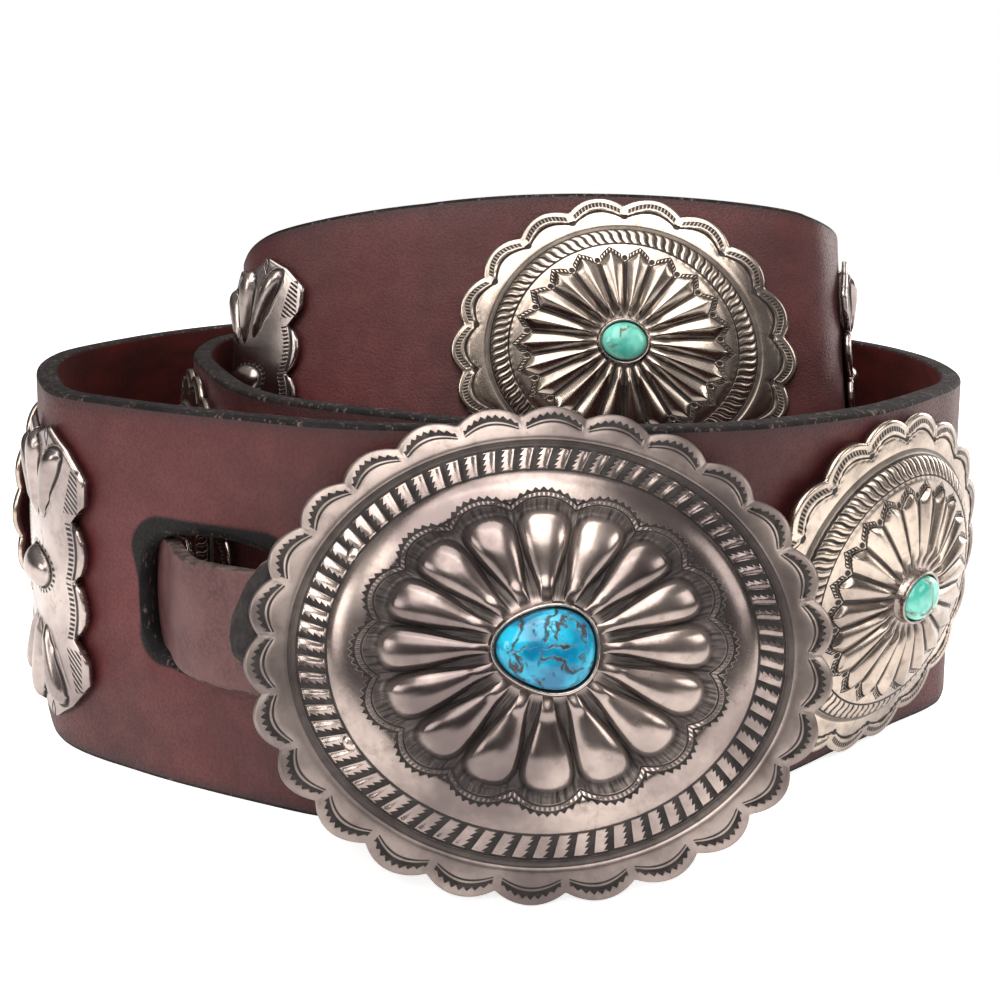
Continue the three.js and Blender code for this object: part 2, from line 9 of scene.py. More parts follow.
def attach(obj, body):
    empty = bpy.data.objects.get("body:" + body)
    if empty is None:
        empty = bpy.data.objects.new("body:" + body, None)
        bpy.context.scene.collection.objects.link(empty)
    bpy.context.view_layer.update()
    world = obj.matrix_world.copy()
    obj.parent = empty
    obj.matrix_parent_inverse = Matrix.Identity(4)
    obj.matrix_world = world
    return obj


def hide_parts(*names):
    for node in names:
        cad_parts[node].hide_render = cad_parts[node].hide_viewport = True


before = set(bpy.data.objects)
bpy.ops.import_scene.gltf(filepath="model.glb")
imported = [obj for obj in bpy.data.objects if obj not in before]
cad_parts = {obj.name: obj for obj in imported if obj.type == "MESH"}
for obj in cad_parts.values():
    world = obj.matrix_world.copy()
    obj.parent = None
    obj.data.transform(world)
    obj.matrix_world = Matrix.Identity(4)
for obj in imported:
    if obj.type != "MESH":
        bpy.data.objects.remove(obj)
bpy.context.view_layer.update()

# Camera
# The belt is seen from in front and a little above, from about 20 cm away from the buckle.
# Sizes are in millimetres from the middle of the coil, and FRAME_ORIGIN is where that stands in the frame.
FRAME_ORIGIN = Vector((1.8984, 9.1025, 0))
CAMERA_PLACE = Vector((0, -308, 117.9))
CAMERA_PITCH = 6.5
CAMERA_ROLL = 0.779

lens = bpy.data.cameras.new("camera")
lens.lens = 43.67
lens.sensor_width = 36
lens.shift_y = -0.1765
camera = bpy.data.objects.new("camera", lens)
camera.matrix_world = (
    Matrix.Translation((CAMERA_PLACE + FRAME_ORIGIN) / 1000)
    @ Matrix.Rotation(radians(90 - CAMERA_PITCH), 4, "X")
    @ Matrix.Rotation(radians(CAMERA_ROLL), 4, "Z")
)
bpy.context.collection.objects.link(camera)
bpy.context.scene.camera = camera
bpy.context.scene.view_settings.view_transform = "Standard"


# Floor and studio light
# A wide white table in a white room, lit by soft boxes overhead, in front, at each side and behind.
# The room and the table are dimmer in reflections than they look, so that the silver shows its shape.
TABLE_RADIUS = 4
LIGHT_AIM = Vector((0, 0, 0.05))


class Wire:
    """A value in a material. An expression on it adds the nodes that work it out."""

    def __init__(self, tree, socket=None):
        self.tree = tree
        self.socket = socket

    def node(self, kind, inputs=(), output=0, **settings):
        made = self.tree.nodes.new("ShaderNode" + kind)
        for name, value in settings.items():
            setattr(made, name, value)
        for key, value in dict(inputs).items():
            if isinstance(value, Wire):
                self.tree.links.new(value.socket, made.inputs[key])
            else:
                made.inputs[key].default_value = value
        return Wire(self.tree, made.outputs[output])

    def math(self, operation, *values):
        return self.node("Math", enumerate(values), operation=operation)

    def __add__(self, other):
        return self.math("ADD", self, other)

    def __radd__(self, other):
        return self.math("ADD", other, self)

    def __sub__(self, other):
        return self.math("SUBTRACT", self, other)

    def __rsub__(self, other):
        return self.math("SUBTRACT", other, self)

    def __mul__(self, other):
        return self.math("MULTIPLY", self, other)

    def __rmul__(self, other):
        return self.math("MULTIPLY", other, self)

    def __truediv__(self, other):
        return self.math("DIVIDE", self, other)

    def __pow__(self, other):
        return self.math("POWER", self, other)

    def __abs__(self):
        return self.math("ABSOLUTE", self)

    def most(self, other):
        return self.math("MAXIMUM", self, other)

    def least(self, other):
        return self.math("MINIMUM", self, other)

    def repeat(self, count, turned=0.0):
        """Counts from -0.5 to 0.5 over each of count repeats, 0 at a repeat's middle."""
        return self.math("FRACT", (self - turned) * count + 0.5) - 0.5

    def rise(self, low, high):
        """Goes smoothly from 0 at low to 1 at high."""
        return self.node("MapRange", {0: self, 1: low, 2: high}, interpolation_type="SMOOTHSTEP")

    def fall(self, low, high):
        return 1 - self.rise(low, high)

    def band(self, low, high, soft):
        """1 between low and high, with soft borders."""
        return (self - low).rise(-soft, soft) * (self - high).fall(-soft, soft)

    def line(self, width, soft):
        """1 where the value is within half a width of 0."""
        return abs(self).fall(width / 2, width / 2 + soft)

    def colour(self, low, high):
        """A colour from low, where the value is 0, to high, where it is 1."""
        return self.node("Mix", {0: self, 6: low, 7: high}, 2, data_type="RGBA")

    def feed(self, shader, name):
        self.tree.links.new(self.socket, shader.inputs[name])

    def emboss(self, shader, strength, distance):
        """Feeds this height to a shader's normal, as a bump of a distance in metres."""
        bump = {"Height": self, "Strength": strength, "Distance": distance}
        self.node("Bump", bump, "Normal").feed(shader, "Normal")

    def across(self, coordinate, axis):
        """A texture coordinate along one axis."""
        return self.node("SeparateXYZ", {0: self.node("TexCoord", output=coordinate)}, axis)


def tone(red, green, blue):
    """The colour of paint that looks like these screen values from 0 to 255."""
    return tuple(((value / 255 + 0.055) / 1.055) ** 2.4 for value in (red, green, blue)) + (1.0,)


def blank_material(name):
    material = bpy.data.materials.new(name)
    material.use_nodes = True
    return material, Wire(material.node_tree), material.node_tree.nodes["Principled BSDF"]


def speckle(wire, scale, detail=4.0, stretch=(1, 1, 1), roughness=0.55):
    """Noise at a scale in repeats per metre, stretched along the object's axes."""
    spot = wire.node("TexCoord", output="Object")
    spot = wire.node("Mapping", {"Vector": spot, "Scale": stretch})
    settings = {"Vector": spot, "Scale": scale, "Detail": detail, "Roughness": roughness}
    return wire.node("TexNoise", settings)


table_mesh = bmesh.new()
bmesh.ops.create_circle(table_mesh, cap_ends=True, segments=96, radius=TABLE_RADIUS)
table_data = bpy.data.meshes.new("table")
table_mesh.to_mesh(table_data)
table_mesh.free()
table = bpy.data.objects.new("table", table_data)
bpy.context.collection.objects.link(table)
table_paint, wire, shader = blank_material("table_paint")
speckle(wire, 40).colour(tone(250, 250, 250), tone(247, 247, 247)).feed(shader, "Base Color")
shader.inputs["Roughness"].default_value = 0.9
shader.inputs["Specular IOR Level"].default_value = 0.1
seen = wire.node("LightPath", output="Is Camera Ray")
seen.colour((0.5, 0.48, 0.48, 1), (1, 1, 1, 1)).feed(shader, "Emission Color")
shader.inputs["Emission Strength"].default_value = 0.74
table_data.materials.append(table_paint)

world = bpy.data.worlds.new("studio")
world.use_nodes = True
room = Wire(world.node_tree)
glow = room.across("Generated", "Z").rise(0.0, 0.9).colour((0.05, 0.046, 0.047, 1), (0.4, 0.38, 0.37, 1))
seen = room.node("LightPath", output="Is Camera Ray")
background = world.node_tree.nodes["Background"]
seen.colour(glow, (1, 1, 1, 1)).feed(background, "Color")
bpy.context.scene.world = world

# each box's place and size in metres, and its power in watts
for name, place, size, power in (
    ("top_box", (-0.05, -0.15, 0.85), 0.6, 3.6),
    ("front_box", (-0.12, -0.6, 0.68), 0.66, 5.2),
    ("left_box", (-0.75, -0.6, 0.35), 0.35, 1.7),
    ("right_box", (0.85, -0.4, 0.5), 0.4, 2.0),
    ("back_box", (0.2, 0.8, 0.7), 0.6, 2.4),
    ("rim_box", (0.8, 0.5, 0.3), 0.5, 4.0),
):
    lamp = bpy.data.lights.new(name, "AREA")
    lamp.size = size
    lamp.energy = power
    lamp.color = (1.0, 0.96, 0.92)
    box = bpy.data.objects.new(name, lamp)
    box.location = place
    box.rotation_euler = (LIGHT_AIM - Vector(place)).to_track_quat("-Z", "Y").to_euler()
    bpy.context.collection.objects.link(box)


# Strap
# One long piece of thick oxblood leather, wound in a spiral and standing on its edge. Its grain side faces
# out, its edges are dyed black, and a window near its front end lets the buckle's tab through.
COIL_WIDTH = 224
COIL_DEPTH = 196
COIL_RISE = 42
COIL_LEAN = 12
STRAP_WIDTH = 75
STRAP_THICKNESS = 4.5
STRAP_EDGE_RADIUS = 0.9
LAYER_GAP = 1
SEAT_GAP = 0.3
STRAP_STEPS = 860
WINDOW_FROM_END = 50
WINDOW_WIDTH = 33
WINDOW_HEIGHT = 26
WINDOW_BEVEL = 2.2
WINDOW_CORNER = WINDOW_HEIGHT / 6 + 1.5
# across, back, under, rise and lean, from the front end to the tail inside the coil
COIL = (
    (-0.054, -0.978, 0, 0, 0), (-0.268, -0.959, 0, 0, 0), (-0.429, -0.893, 0, 0, 0),
    (-0.634, -0.786, 0, 0, 0), (-0.804, -0.663, 0, 0, 0), (-0.88, -0.52, 0, 0, 0),
    (-0.96, -0.286, 0, 0, 0), (-0.987, -0.061, 0, 0, 0), (-0.946, 0.143, 0, 0, 0),
    (-0.848, 0.408, 0, 0, 0), (-0.696, 0.643, 0, 0, 0), (-0.375, 0.908, 0, 0, 0),
    (0, 1, 0, 0, 0), (0.429, 0.908, 0, 0, 0), (0.768, 0.633, 0, 0, 0),
    (0.938, 0.357, 0, 0, 0), (1, 0.082, 0, 0, 0), (0.982, -0.204, 0, 0, 0),
    (0.92, -0.388, 0, 0, 0), (0.804, -0.531, 0, 0, -0.3), (0.652, -0.694, 0, 0, -0.5),
    (0.42, -0.878, 0, 0, -0.35), (0.232, -0.949, 0, 0, -0.1), (-0.071, -0.964, 1, 0, 0),
    (-0.17, -0.913, 1, 0, 0), (-0.393, -0.714, 0, 0, 0), (-0.491, -0.592, 0, 0, 0),
    (-0.625, -0.265, 0, 0, 0), (-0.696, -0.01, 0, 0, 0), (-0.696, 0.316, 0, 0, 0),
    (-0.536, 0.612, 0, 0, 0), (0, 0.796, 0, 0, 0), (0.464, 0.653, 0, 0.3, 0),
    (0.732, 0.378, 0, 0.6, 0), (0.804, 0.092, 0, 0.72, 0.3), (0.696, -0.163, 0, 0.88, 0.8),
    (0.268, -0.143, 0, 1, 1), (-0.179, -0.133, 0, 0.93, 1), (-0.56, 0, 0, 0.7, 0.5),
    (-0.622, 0.18, 0, 0.53, 0.1), (-0.617, 0.36, 0, 0.43, -0.2), (-0.5, 0.54, 0, 0.33, -0.2),
    (-0.196, 0.612, 0, 0.25, 0),
)


def mix(low, high, share):
    return low + (high - low) * share


class Route:
    """A smooth line through points, walked by its length."""

    def __init__(self, points, pieces):
        self.points = points
        self.spots = [self.point(i / pieces) for i in range(pieces + 1)]
        self.walked = [0.0]
        for before, after in zip(self.spots, self.spots[1:]):
            self.walked.append(self.walked[-1] + (after - before).length)
        self.length = self.walked[-1]

    def point(self, t):
        last = len(self.points) - 1
        along = min(max(t, 0.0), 1.0) * last
        k = min(int(along), last - 1)
        share = along - k
        p1, p2 = self.points[k], self.points[k + 1]
        p0 = self.points[k - 1] if k else 2 * p1 - p2
        p3 = self.points[k + 2] if k + 2 <= last else 2 * p2 - p1
        d0, d1, d2 = (sqrt((b - a).length) or 1.0 for a, b in ((p0, p1), (p1, p2), (p2, p3)))
        start = ((p1 - p0) / d0 - (p2 - p0) / (d0 + d1) + (p2 - p1) / d1) * d1
        end = ((p2 - p1) / d1 - (p3 - p1) / (d1 + d2) + (p3 - p2) / d2) * d1
        square, cube = share * share, share ** 3
        return (
            p1 * (2 * cube - 3 * square + 1) + start * (cube - 2 * square + share)
            + p2 * (3 * square - 2 * cube) + end * (cube - square)
        )

    def share_at(self, distance):
        """The share of the points' count at a distance along the line."""
        low, high = 0, len(self.walked) - 1
        while high - low > 1:
            middle = (low + high) // 2
            low, high = (middle, high) if self.walked[middle] <= distance else (low, middle)
        step = (distance - self.walked[low]) / (self.walked[high] - self.walked[low])
        return min(max((low + step) / (len(self.walked) - 1), 0.0), 1.0)

    def direction(self, t):
        return self.point(min(t + 1e-4, 1)) - self.point(max(t - 1e-4, 0))


coil_line = Route([
    Vector((
        across * COIL_WIDTH / 2,
        back * COIL_DEPTH / 2 + under * (STRAP_THICKNESS + LAYER_GAP),
        rise * COIL_RISE,
    ))
    for across, back, under, rise, lean in COIL
], 1200)


def strap_frame(distance):
    """The middle of the grain side at a distance from the front end, and its up and out directions."""
    t = coil_line.share_at(distance)
    along = t * (len(COIL) - 1)
    row = min(int(along), len(COIL) - 2)
    lean = radians(COIL_LEAN * mix(COIL[row][4], COIL[row + 1][4], along - row))
    travel = coil_line.direction(t)
    travel.z = 0
    travel.normalize()
    level = Vector((-travel.y, travel.x, 0))
    up = Vector((0, 0, cos(lean))) - level * sin(lean)
    out = level * cos(lean) + Vector((0, 0, sin(lean)))
    place = coil_line.point(t)
    place.z = max(place.z, 0) + STRAP_WIDTH / 2 * cos(lean) + STRAP_THICKNESS * max(sin(lean), 0)
    return place, up, out


FRAME_STEP = 0.5
strap_frames = [strap_frame(i * FRAME_STEP) for i in range(int(coil_line.length / FRAME_STEP) + 2)]


def strap_at(distance):
    row = min(max(distance, 0) / FRAME_STEP, len(strap_frames) - 1.001)
    before, after = strap_frames[int(row)], strap_frames[int(row) + 1]
    return tuple(a.lerp(b, row - int(row)) for a, b in zip(before, after))


def skin(bm, around, along, place, mark=None, slot=None):
    """A grid wrapped into a skin: place gives each point from its shares around and along the grid."""
    made = bmesh.ops.create_grid(bm, x_segments=around, y_segments=along, size=0.5)
    verts = made["verts"]
    layer = bm.loops.layers.uv.get("UVMap") or bm.loops.layers.uv.new("UVMap")
    faces = {face for vert in verts for face in vert.link_faces}
    for face in faces:
        middle = face.calc_center_median()
        face.smooth = True
        if slot:
            face.material_index = slot(middle.x + 0.5, middle.y + 0.5)
        for loop in face.loops:
            u, v = loop.vert.co.x + 0.5, loop.vert.co.y + 0.5
            loop[layer].uv = mark(u, v) if mark else (u, v)
    for vert in verts:
        vert.co = place(vert.co.x + 0.5, vert.co.y + 0.5)
    bmesh.ops.remove_doubles(bm, verts=verts, dist=1e-3)


def close_ends(bm, slot_index):
    """Closes what is still open, and turns every face outwards."""
    open_edges = [edge for edge in bm.edges if edge.is_boundary]
    if open_edges:
        for face in bmesh.ops.holes_fill(bm, edges=open_edges, sides=0)["faces"]:
            face.material_index = slot_index
    bmesh.ops.recalc_face_normals(bm, faces=bm.faces)


def as_piece(bm, name, materials, nodes=()):
    """The finished piece in metres, in place of its CAD nodes if it has any."""
    for vert in bm.verts:
        vert.co = (vert.co + FRAME_ORIGIN) / 1000
    data = bpy.data.meshes.new(name)
    bm.to_mesh(data)
    bm.free()
    for material in materials:
        data.materials.append(material)
    piece = bpy.data.objects.new(name, data)
    bpy.context.collection.objects.link(piece)
    if nodes:
        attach(piece, "root")
        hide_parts(*nodes)
    return piece


def band_profile(width, thickness, radius, face_points):
    """Points round a flat band with rounded edges, from the foot of its grain side upwards, as (up, out)."""
    flat = width / 2 - radius
    low = radius - thickness
    face = [mix(-flat, flat, i / face_points) for i in range(face_points + 1)]
    points = [(up, 0.0) for up in face]
    for turn in (22.5, 45, 67.5, 90):
        points.append((flat + radius * sin(radians(turn)), radius * cos(radians(turn)) - radius))
    points.append((width / 2, -thickness / 2))
    for turn in (0, 30, 60, 90):
        points.append((flat + radius * cos(radians(turn)), low - radius * sin(radians(turn))))
    points += [(-up, -thickness) for up in face[1:]]
    for turn in (30, 60, 90):
        points.append((-flat - radius * sin(radians(turn)), low - radius * cos(radians(turn))))
    points.append((-width / 2, -thickness / 2))
    for turn in (90, 67.5, 45, 22.5):
        points.append((-flat - radius * sin(radians(turn)), radius * cos(radians(turn)) - radius))
    return points


def profile_at(profile, u):
    return profile[round(u * len(profile)) % len(profile)]


GRAIN, FLESH, EDGE = 0, 1, 2
EDGE_STEPS = 9
FACE_POINTS = 8
strap_profile = band_profile(STRAP_WIDTH, STRAP_THICKNESS, STRAP_EDGE_RADIUS, FACE_POINTS)


def band_side(u, profile, face_points):
    """The side of a band that a share of the way round its profile is on."""
    step = u * len(profile)
    if step < face_points:
        return GRAIN
    return FLESH if face_points + EDGE_STEPS - 1 < step < 2 * face_points + EDGE_STEPS else EDGE


def strap_point(u, v):
    rise, depth = profile_at(strap_profile, u)
    distance = v * coil_line.length
    place, up, out = strap_at(distance)
    wave = 0.12 * noise.noise(Vector((distance / 14, rise / 12, 0.0)))
    return place + up * rise + out * (depth + wave)


def strap_mark(u, v):
    """Metres along and up the leather, as the dye and the wear follow it."""
    return v * coil_line.length / 1000, profile_at(strap_profile, u)[0] / 1000


strap_bm = bmesh.new()
skin(strap_bm, len(strap_profile), STRAP_STEPS, strap_point, strap_mark,
     lambda u, v: band_side(u, strap_profile, FACE_POINTS))
close_ends(strap_bm, EDGE)

# margin round the window and depth, from in front of the leather to behind it
WINDOW_LEVELS = (
    (WINDOW_BEVEL + 3, 3), (WINDOW_BEVEL, 0.02), (WINDOW_BEVEL * 0.62, -0.35), (WINDOW_BEVEL * 0.28, -0.95),
    (WINDOW_BEVEL * 0.07, -1.7), (0, -2.4), (0, -STRAP_THICKNESS - 3),
)


def window_point(u, v):
    margin, depth = WINDOW_LEVELS[round(v * (len(WINDOW_LEVELS) - 1))]
    turn = 2 * pi * u
    reach = (abs(cos(turn)) ** 6 + abs(sin(turn)) ** 6) ** (-1 / 6)
    round_off = WINDOW_CORNER + margin
    across = max(-1, min(1, reach * cos(turn))) * (WINDOW_WIDTH / 2 - WINDOW_CORNER) + cos(turn) * round_off
    rise = max(-1, min(1, reach * sin(turn))) * (WINDOW_HEIGHT / 2 - WINDOW_CORNER) + sin(turn) * round_off
    place, up, out = strap_at(WINDOW_FROM_END)
    return place + up.cross(out) * across + up * rise + out * depth


window_bm = bmesh.new()
skin(window_bm, 72, len(WINDOW_LEVELS) - 1, window_point, None, lambda u, v: EDGE)
close_ends(window_bm, EDGE)

# The grain side: fine pebbled grain, dark in its creases, with a satin finish, a few rubbed marks and painted
# shade that darkens it towards its top edge.
grain_leather, wire, shader = blank_material("grain_leather")
pebble = wire.node("TexVoronoi", {
    "Vector": wire.node("TexCoord", output="Object"), "Scale": 1700.0, "Randomness": 1.0,
}, "Distance")
crease = pebble.rise(0.3, 0.75)
patch = speckle(wire, 22, 6)
mottle = speckle(wire, 160, 5)
fine = speckle(wire, 2600, 3)
strap_along = wire.across("UV", "X")
strap_rise = wire.across("UV", "Y")
worn = abs(strap_rise).rise(STRAP_WIDTH / 2000 - 0.004, STRAP_WIDTH / 2000)
beside = (abs(strap_along - WINDOW_FROM_END / 1000) - (WINDOW_WIDTH / 2 - 5) / 1000).most(0.0)
above = (abs(strap_rise) - (WINDOW_HEIGHT / 2 - 5) / 1000).most(0.0)
window_far = (beside ** 2 + above ** 2) ** 0.5
near_front = (strap_along - 0.12).fall(-0.001, 0.001)
window_band = (window_far - strap_rise.rise(0.0, 0.012) * 0.0022).fall(0.0054, 0.0064) * near_front
scratch_line = (strap_along - 0.172 + (strap_rise - 0.012) * 1.2).line(0.0005, 0.0006)
scratch = scratch_line * strap_rise.band(0.006, 0.018, 0.002) * speckle(wire, 420, 3).rise(0.42, 0.55)
dye = patch.rise(0.3, 0.7).colour(tone(58, 15, 17), tone(88, 31, 33))
dye = (mottle.rise(0.35, 0.7) * 0.22).colour(dye, tone(118, 66, 66))
dye = (crease * 0.3).colour(dye, tone(58, 24, 24))
dye = (worn * 0.8).colour(dye, tone(38, 22, 24))
# Painted shade: the grain side turns darker towards its top edge, standing in for the shadow that falls
# there.
dye = (strap_rise.rise(-0.005, 0.036) * 0.3).colour(dye, tone(40, 12, 13))
dye = (scratch * 0.75).colour(dye, tone(150, 40, 46))
dye = window_band.colour(dye, tone(10, 8, 9))
dye.feed(shader, "Base Color")
(0.4 + patch * 0.16 + crease * 0.12 + window_band * 0.3).feed(shader, "Roughness")
(fine * 0.3 - crease * 0.6 + mottle * 0.5).emboss(shader, 0.35, 0.00016)
shader.inputs["Specular IOR Level"].default_value = 0.42
shader.inputs["Sheen Weight"].default_value = 0.04
shader.inputs["Sheen Roughness"].default_value = 0.4
shader.inputs["Sheen Tint"].default_value = tone(235, 205, 205)

# The flesh side: dark red suede, brushed and matt.
flesh_leather, wire, shader = blank_material("flesh_leather")
nap = speckle(wire, 1400, 5)
brushed = speckle(wire, 60, 5, (1, 1, 3))
brushed.rise(0.3, 0.7).colour(tone(44, 8, 6), tone(70, 18, 14)).feed(shader, "Base Color")
(0.78 + nap * 0.15).feed(shader, "Roughness")
nap.emboss(shader, 0.5, 0.0004)
shader.inputs["Specular IOR Level"].default_value = 0.2
shader.inputs["Sheen Weight"].default_value = 0.1
shader.inputs["Sheen Roughness"].default_value = 0.6
shader.inputs["Sheen Tint"].default_value = tone(150, 70, 64)

# The cut edges: dyed black, burnished unevenly, with pale fibres that show through.
edge_leather, wire, shader = blank_material("edge_leather")
fibre = speckle(wire, 900, 6, (1, 1, 0.35), 0.7)
layer = speckle(wire, 180, 5)
shade = layer.rise(0.3, 0.72).colour(tone(9, 8, 9), tone(32, 28, 30))
(fibre.rise(0.54, 0.68) * 0.75).colour(shade, tone(120, 104, 98)).feed(shader, "Base Color")
(0.62 + fibre * 0.25).feed(shader, "Roughness")
(fibre * 0.8 + layer).emboss(shader, 0.7, 0.0005)
shader.inputs["Specular IOR Level"].default_value = 0.2

strap_leathers = (grain_leather, flesh_leather, edge_leather)
strap = as_piece(strap_bm, "strap_leather", strap_leathers, ("strap",))
window = as_piece(window_bm, "window_punch", strap_leathers)
cut = strap.modifiers.new("window", "BOOLEAN")
cut.operation = "DIFFERENCE"
cut.solver = "EXACT"
cut.object = window
whole = bpy.data.meshes.new_from_object(strap.evaluated_get(bpy.context.evaluated_depsgraph_get()))
strap.modifiers.clear()
strap.data = whole
bpy.data.objects.remove(window)


# Buckle's place and tab
# A narrow leather tab comes from behind the strap, out through the window and round the buckle's bar, and
# its folded end lies back over itself. Its grain is paler than the strap's, and its cut edges are left raw.
BUCKLE_WIDTH = 102
BUCKLE_HEIGHT = 83
BUCKLE_DOME = 11
BUCKLE_LEAN = 18.5
BUCKLE_TURN = 3
BUCKLE_ACROSS = 8
BUCKLE_FOOT = 22
BAR_RADIUS = 2
BAR_LENGTH = 34
BAR_INSET = 19
TAB_WIDTH = 22
TAB_THICKNESS = 2.8
TAB_FOLD_LENGTH = 20
TAB_FOLD_RISE = 8
TAB_CLEARANCE = 0.5
BAR_ACROSS = BAR_INSET - BUCKLE_WIDTH / 2
BAR_DEPTH = -(BAR_RADIUS + TAB_THICKNESS + 2 * TAB_CLEARANCE)

lean = radians(BUCKLE_LEAN)
buckle_place = (
    Matrix.Translation((
        BUCKLE_ACROSS,
        -COIL_DEPTH / 2 - BUCKLE_FOOT + BUCKLE_HEIGHT / 2 * sin(lean),
        BUCKLE_HEIGHT / 2 * cos(lean),
    ))
    @ Matrix.Rotation(radians(BUCKLE_TURN), 4, "Z")
    @ Matrix.Rotation(pi / 2 - lean, 4, "X")
)


def near_strap(window_share, offset):
    place, up, out = strap_at(WINDOW_FROM_END + window_share * WINDOW_WIDTH)
    return place + out * offset, up, 1.0


def near_bar(x, y, z, width=1.0):
    place = buckle_place @ Vector((BAR_ACROSS + x, y, BAR_DEPTH + z))
    return place, (buckle_place.to_3x3() @ Vector((0, 1, 0))).normalized(), width


behind = -(STRAP_THICKNESS + SEAT_GAP + TAB_THICKNESS / 2)
round_bar = BAR_RADIUS + TAB_CLEARANCE + TAB_THICKNESS / 2
tab_stops = [
    near_strap(1.35, behind), near_strap(0.95, behind), near_strap(0.54, behind),
    near_strap(0.33, -0.55 * STRAP_THICKNESS), near_strap(-0.05, 2.3 * TAB_THICKNESS),
]
for turn in (-115, -70, -20, 30, 75):
    tab_stops.append(near_bar(round_bar * cos(radians(turn)), 0, round_bar * sin(radians(turn))))
# share of the folded end's length, and its width there as a share of the tab's
for share, width in ((0.2, 1), (0.62, 1), (0.86, 0.86), (0.96, 0.6), (1, 0.3)):
    tab_stops.append(near_bar(-TAB_FOLD_LENGTH * share, TAB_FOLD_RISE * share, round_bar, width))

tab_line = Route([place for place, up, width in tab_stops], 400)
TAB_ROUND = 0.16
TAB_FACE_POINTS = 4
TAB_STEPS = 120
FOLD = 3
FOLD_SHARE = 0.55
tab_profile = band_profile(1.0, 1.0, TAB_ROUND, TAB_FACE_POINTS)


def tab_point(u, v):
    across, depth = profile_at(tab_profile, u)
    t = tab_line.share_at(v * tab_line.length)
    along = t * (len(tab_stops) - 1)
    k = min(int(along), len(tab_stops) - 2)
    travel = tab_line.direction(t).normalized()
    up = tab_stops[k][1].lerp(tab_stops[k + 1][1], along - k)
    up = (up - travel * up.dot(travel)).normalized()
    out = up.cross(travel)
    width = TAB_WIDTH * mix(tab_stops[k][2], tab_stops[k + 1][2], along - k)
    if abs(across) > 0.5 - TAB_ROUND:
        height = copysign(width / 2 - (0.5 - abs(across)) * TAB_THICKNESS, across)
    else:
        height = across / (0.5 - TAB_ROUND) * (width / 2 - TAB_ROUND * TAB_THICKNESS)
    return tab_line.point(t) + up * height + out * (depth + 0.5) * TAB_THICKNESS


def tab_finish(u, v):
    """The tab's grain is on the far side of its profile, and its folded end is dark on the near side."""
    side = band_side(u, tab_profile, TAB_FACE_POINTS)
    if side == GRAIN:
        return FOLD if v > FOLD_SHARE else FLESH
    return GRAIN if side == FLESH else EDGE


tab_bm = bmesh.new()
skin(tab_bm, len(tab_profile), TAB_STEPS, tab_point, None, tab_finish)
close_ends(tab_bm, EDGE)

tab_grain, wire, shader = blank_material("tab_grain")
grain = speckle(wire, 1500, 5)
patch = speckle(wire, 120, 5)
hide = patch.rise(0.3, 0.7).colour(tone(64, 32, 33), tone(92, 58, 58))
(grain.rise(0.35, 0.7) * 0.5).colour(hide, tone(108, 74, 73)).feed(shader, "Base Color")
(0.5 + grain * 0.2).feed(shader, "Roughness")
(grain + patch).emboss(shader, 0.6, 0.0003)

raw_edge, wire, shader = blank_material("raw_edge")
fibre = speckle(wire, 1300, 6, (0.4, 0.4, 1), 0.7)
fibre.rise(0.35, 0.7).colour(tone(38, 28, 28), tone(104, 86, 80)).feed(shader, "Base Color")
(0.75 + fibre * 0.2).feed(shader, "Roughness")
fibre.emboss(shader, 0.7, 0.0004)

fold_leather, wire, shader = blank_material("fold_leather")
scuff = speckle(wire, 700, 6, (1, 1, 0.5), 0.7)
scuff.rise(0.4, 0.74).colour(tone(15, 13, 14), tone(56, 48, 48)).feed(shader, "Base Color")
(0.6 + scuff * 0.3).feed(shader, "Roughness")
scuff.emboss(shader, 0.8, 0.0005)

as_piece(tab_bm, "tab_leather", (tab_grain, flesh_leather, raw_edge, fold_leather), ("buckle_tab",))


# Buckle
# A scalloped oval of heavy sheet silver, raised and stamped by hand and darkened in its recesses, with a
# rope border, a flower of sixteen chased petals and a soldered bezel. Behind it are the tab's bar and a hook.
BUCKLE_WALL = 1.8
BUCKLE_SCALLOPS = 26
BUCKLE_SCALLOP_TURN = 4 / 360
BUCKLE_PETALS = 16
BUCKLE_ROPE = 76
BUCKLE_POST_RADIUS = 1.8
POST_END = 4.5
HOOK_LENGTH = 9
HOOK_RADIUS = 1.6
BUCKLE_STONE = (16.2, 12.7, 4.4)        # width, height and rise
BUCKLE_FREEFORM = 0.055
BEZEL_WALL = 0.55
BEZEL_HEIGHT = 1.9
PETAL_RISE = 2.6
PETAL_SINK = 1.3
ROPE_RISE = 0.3
STAMPED, PLAIN = 0, 1
# the front's share of a plate's skin, and the share of it that is still stamped past the rim
FRONT_SHARE = 0.8
STAMPED_SHARE = FRONT_SHARE + 0.02
# places on the plate, as shares of its half sizes
PETAL_ROUND = 0.42
PETAL_END = 0.14
ROPE_MIDDLE = 0.77
ROPE_SLOPE = 0.05
BUCKLE_GROOVE = 0.833
RIM_ARC = 0.957
RIM_BOW = 0.024
RIM_DIP = 0.045
RIM_START = 0.84
# share of the half sizes, and height as a share of the dome
BUCKLE_CURVE = (
    (0, 0.95), (0.22, 0.9), (0.4, 0.79), (0.5, 0.7), (0.56, 0.66), (0.64, 0.6), (0.7, 0.49), (0.735, 0.35),
    (0.79, 0.23), (0.83, 0.21), (0.86, 0.25), (0.93, 0.2), (1, 0.12),
)


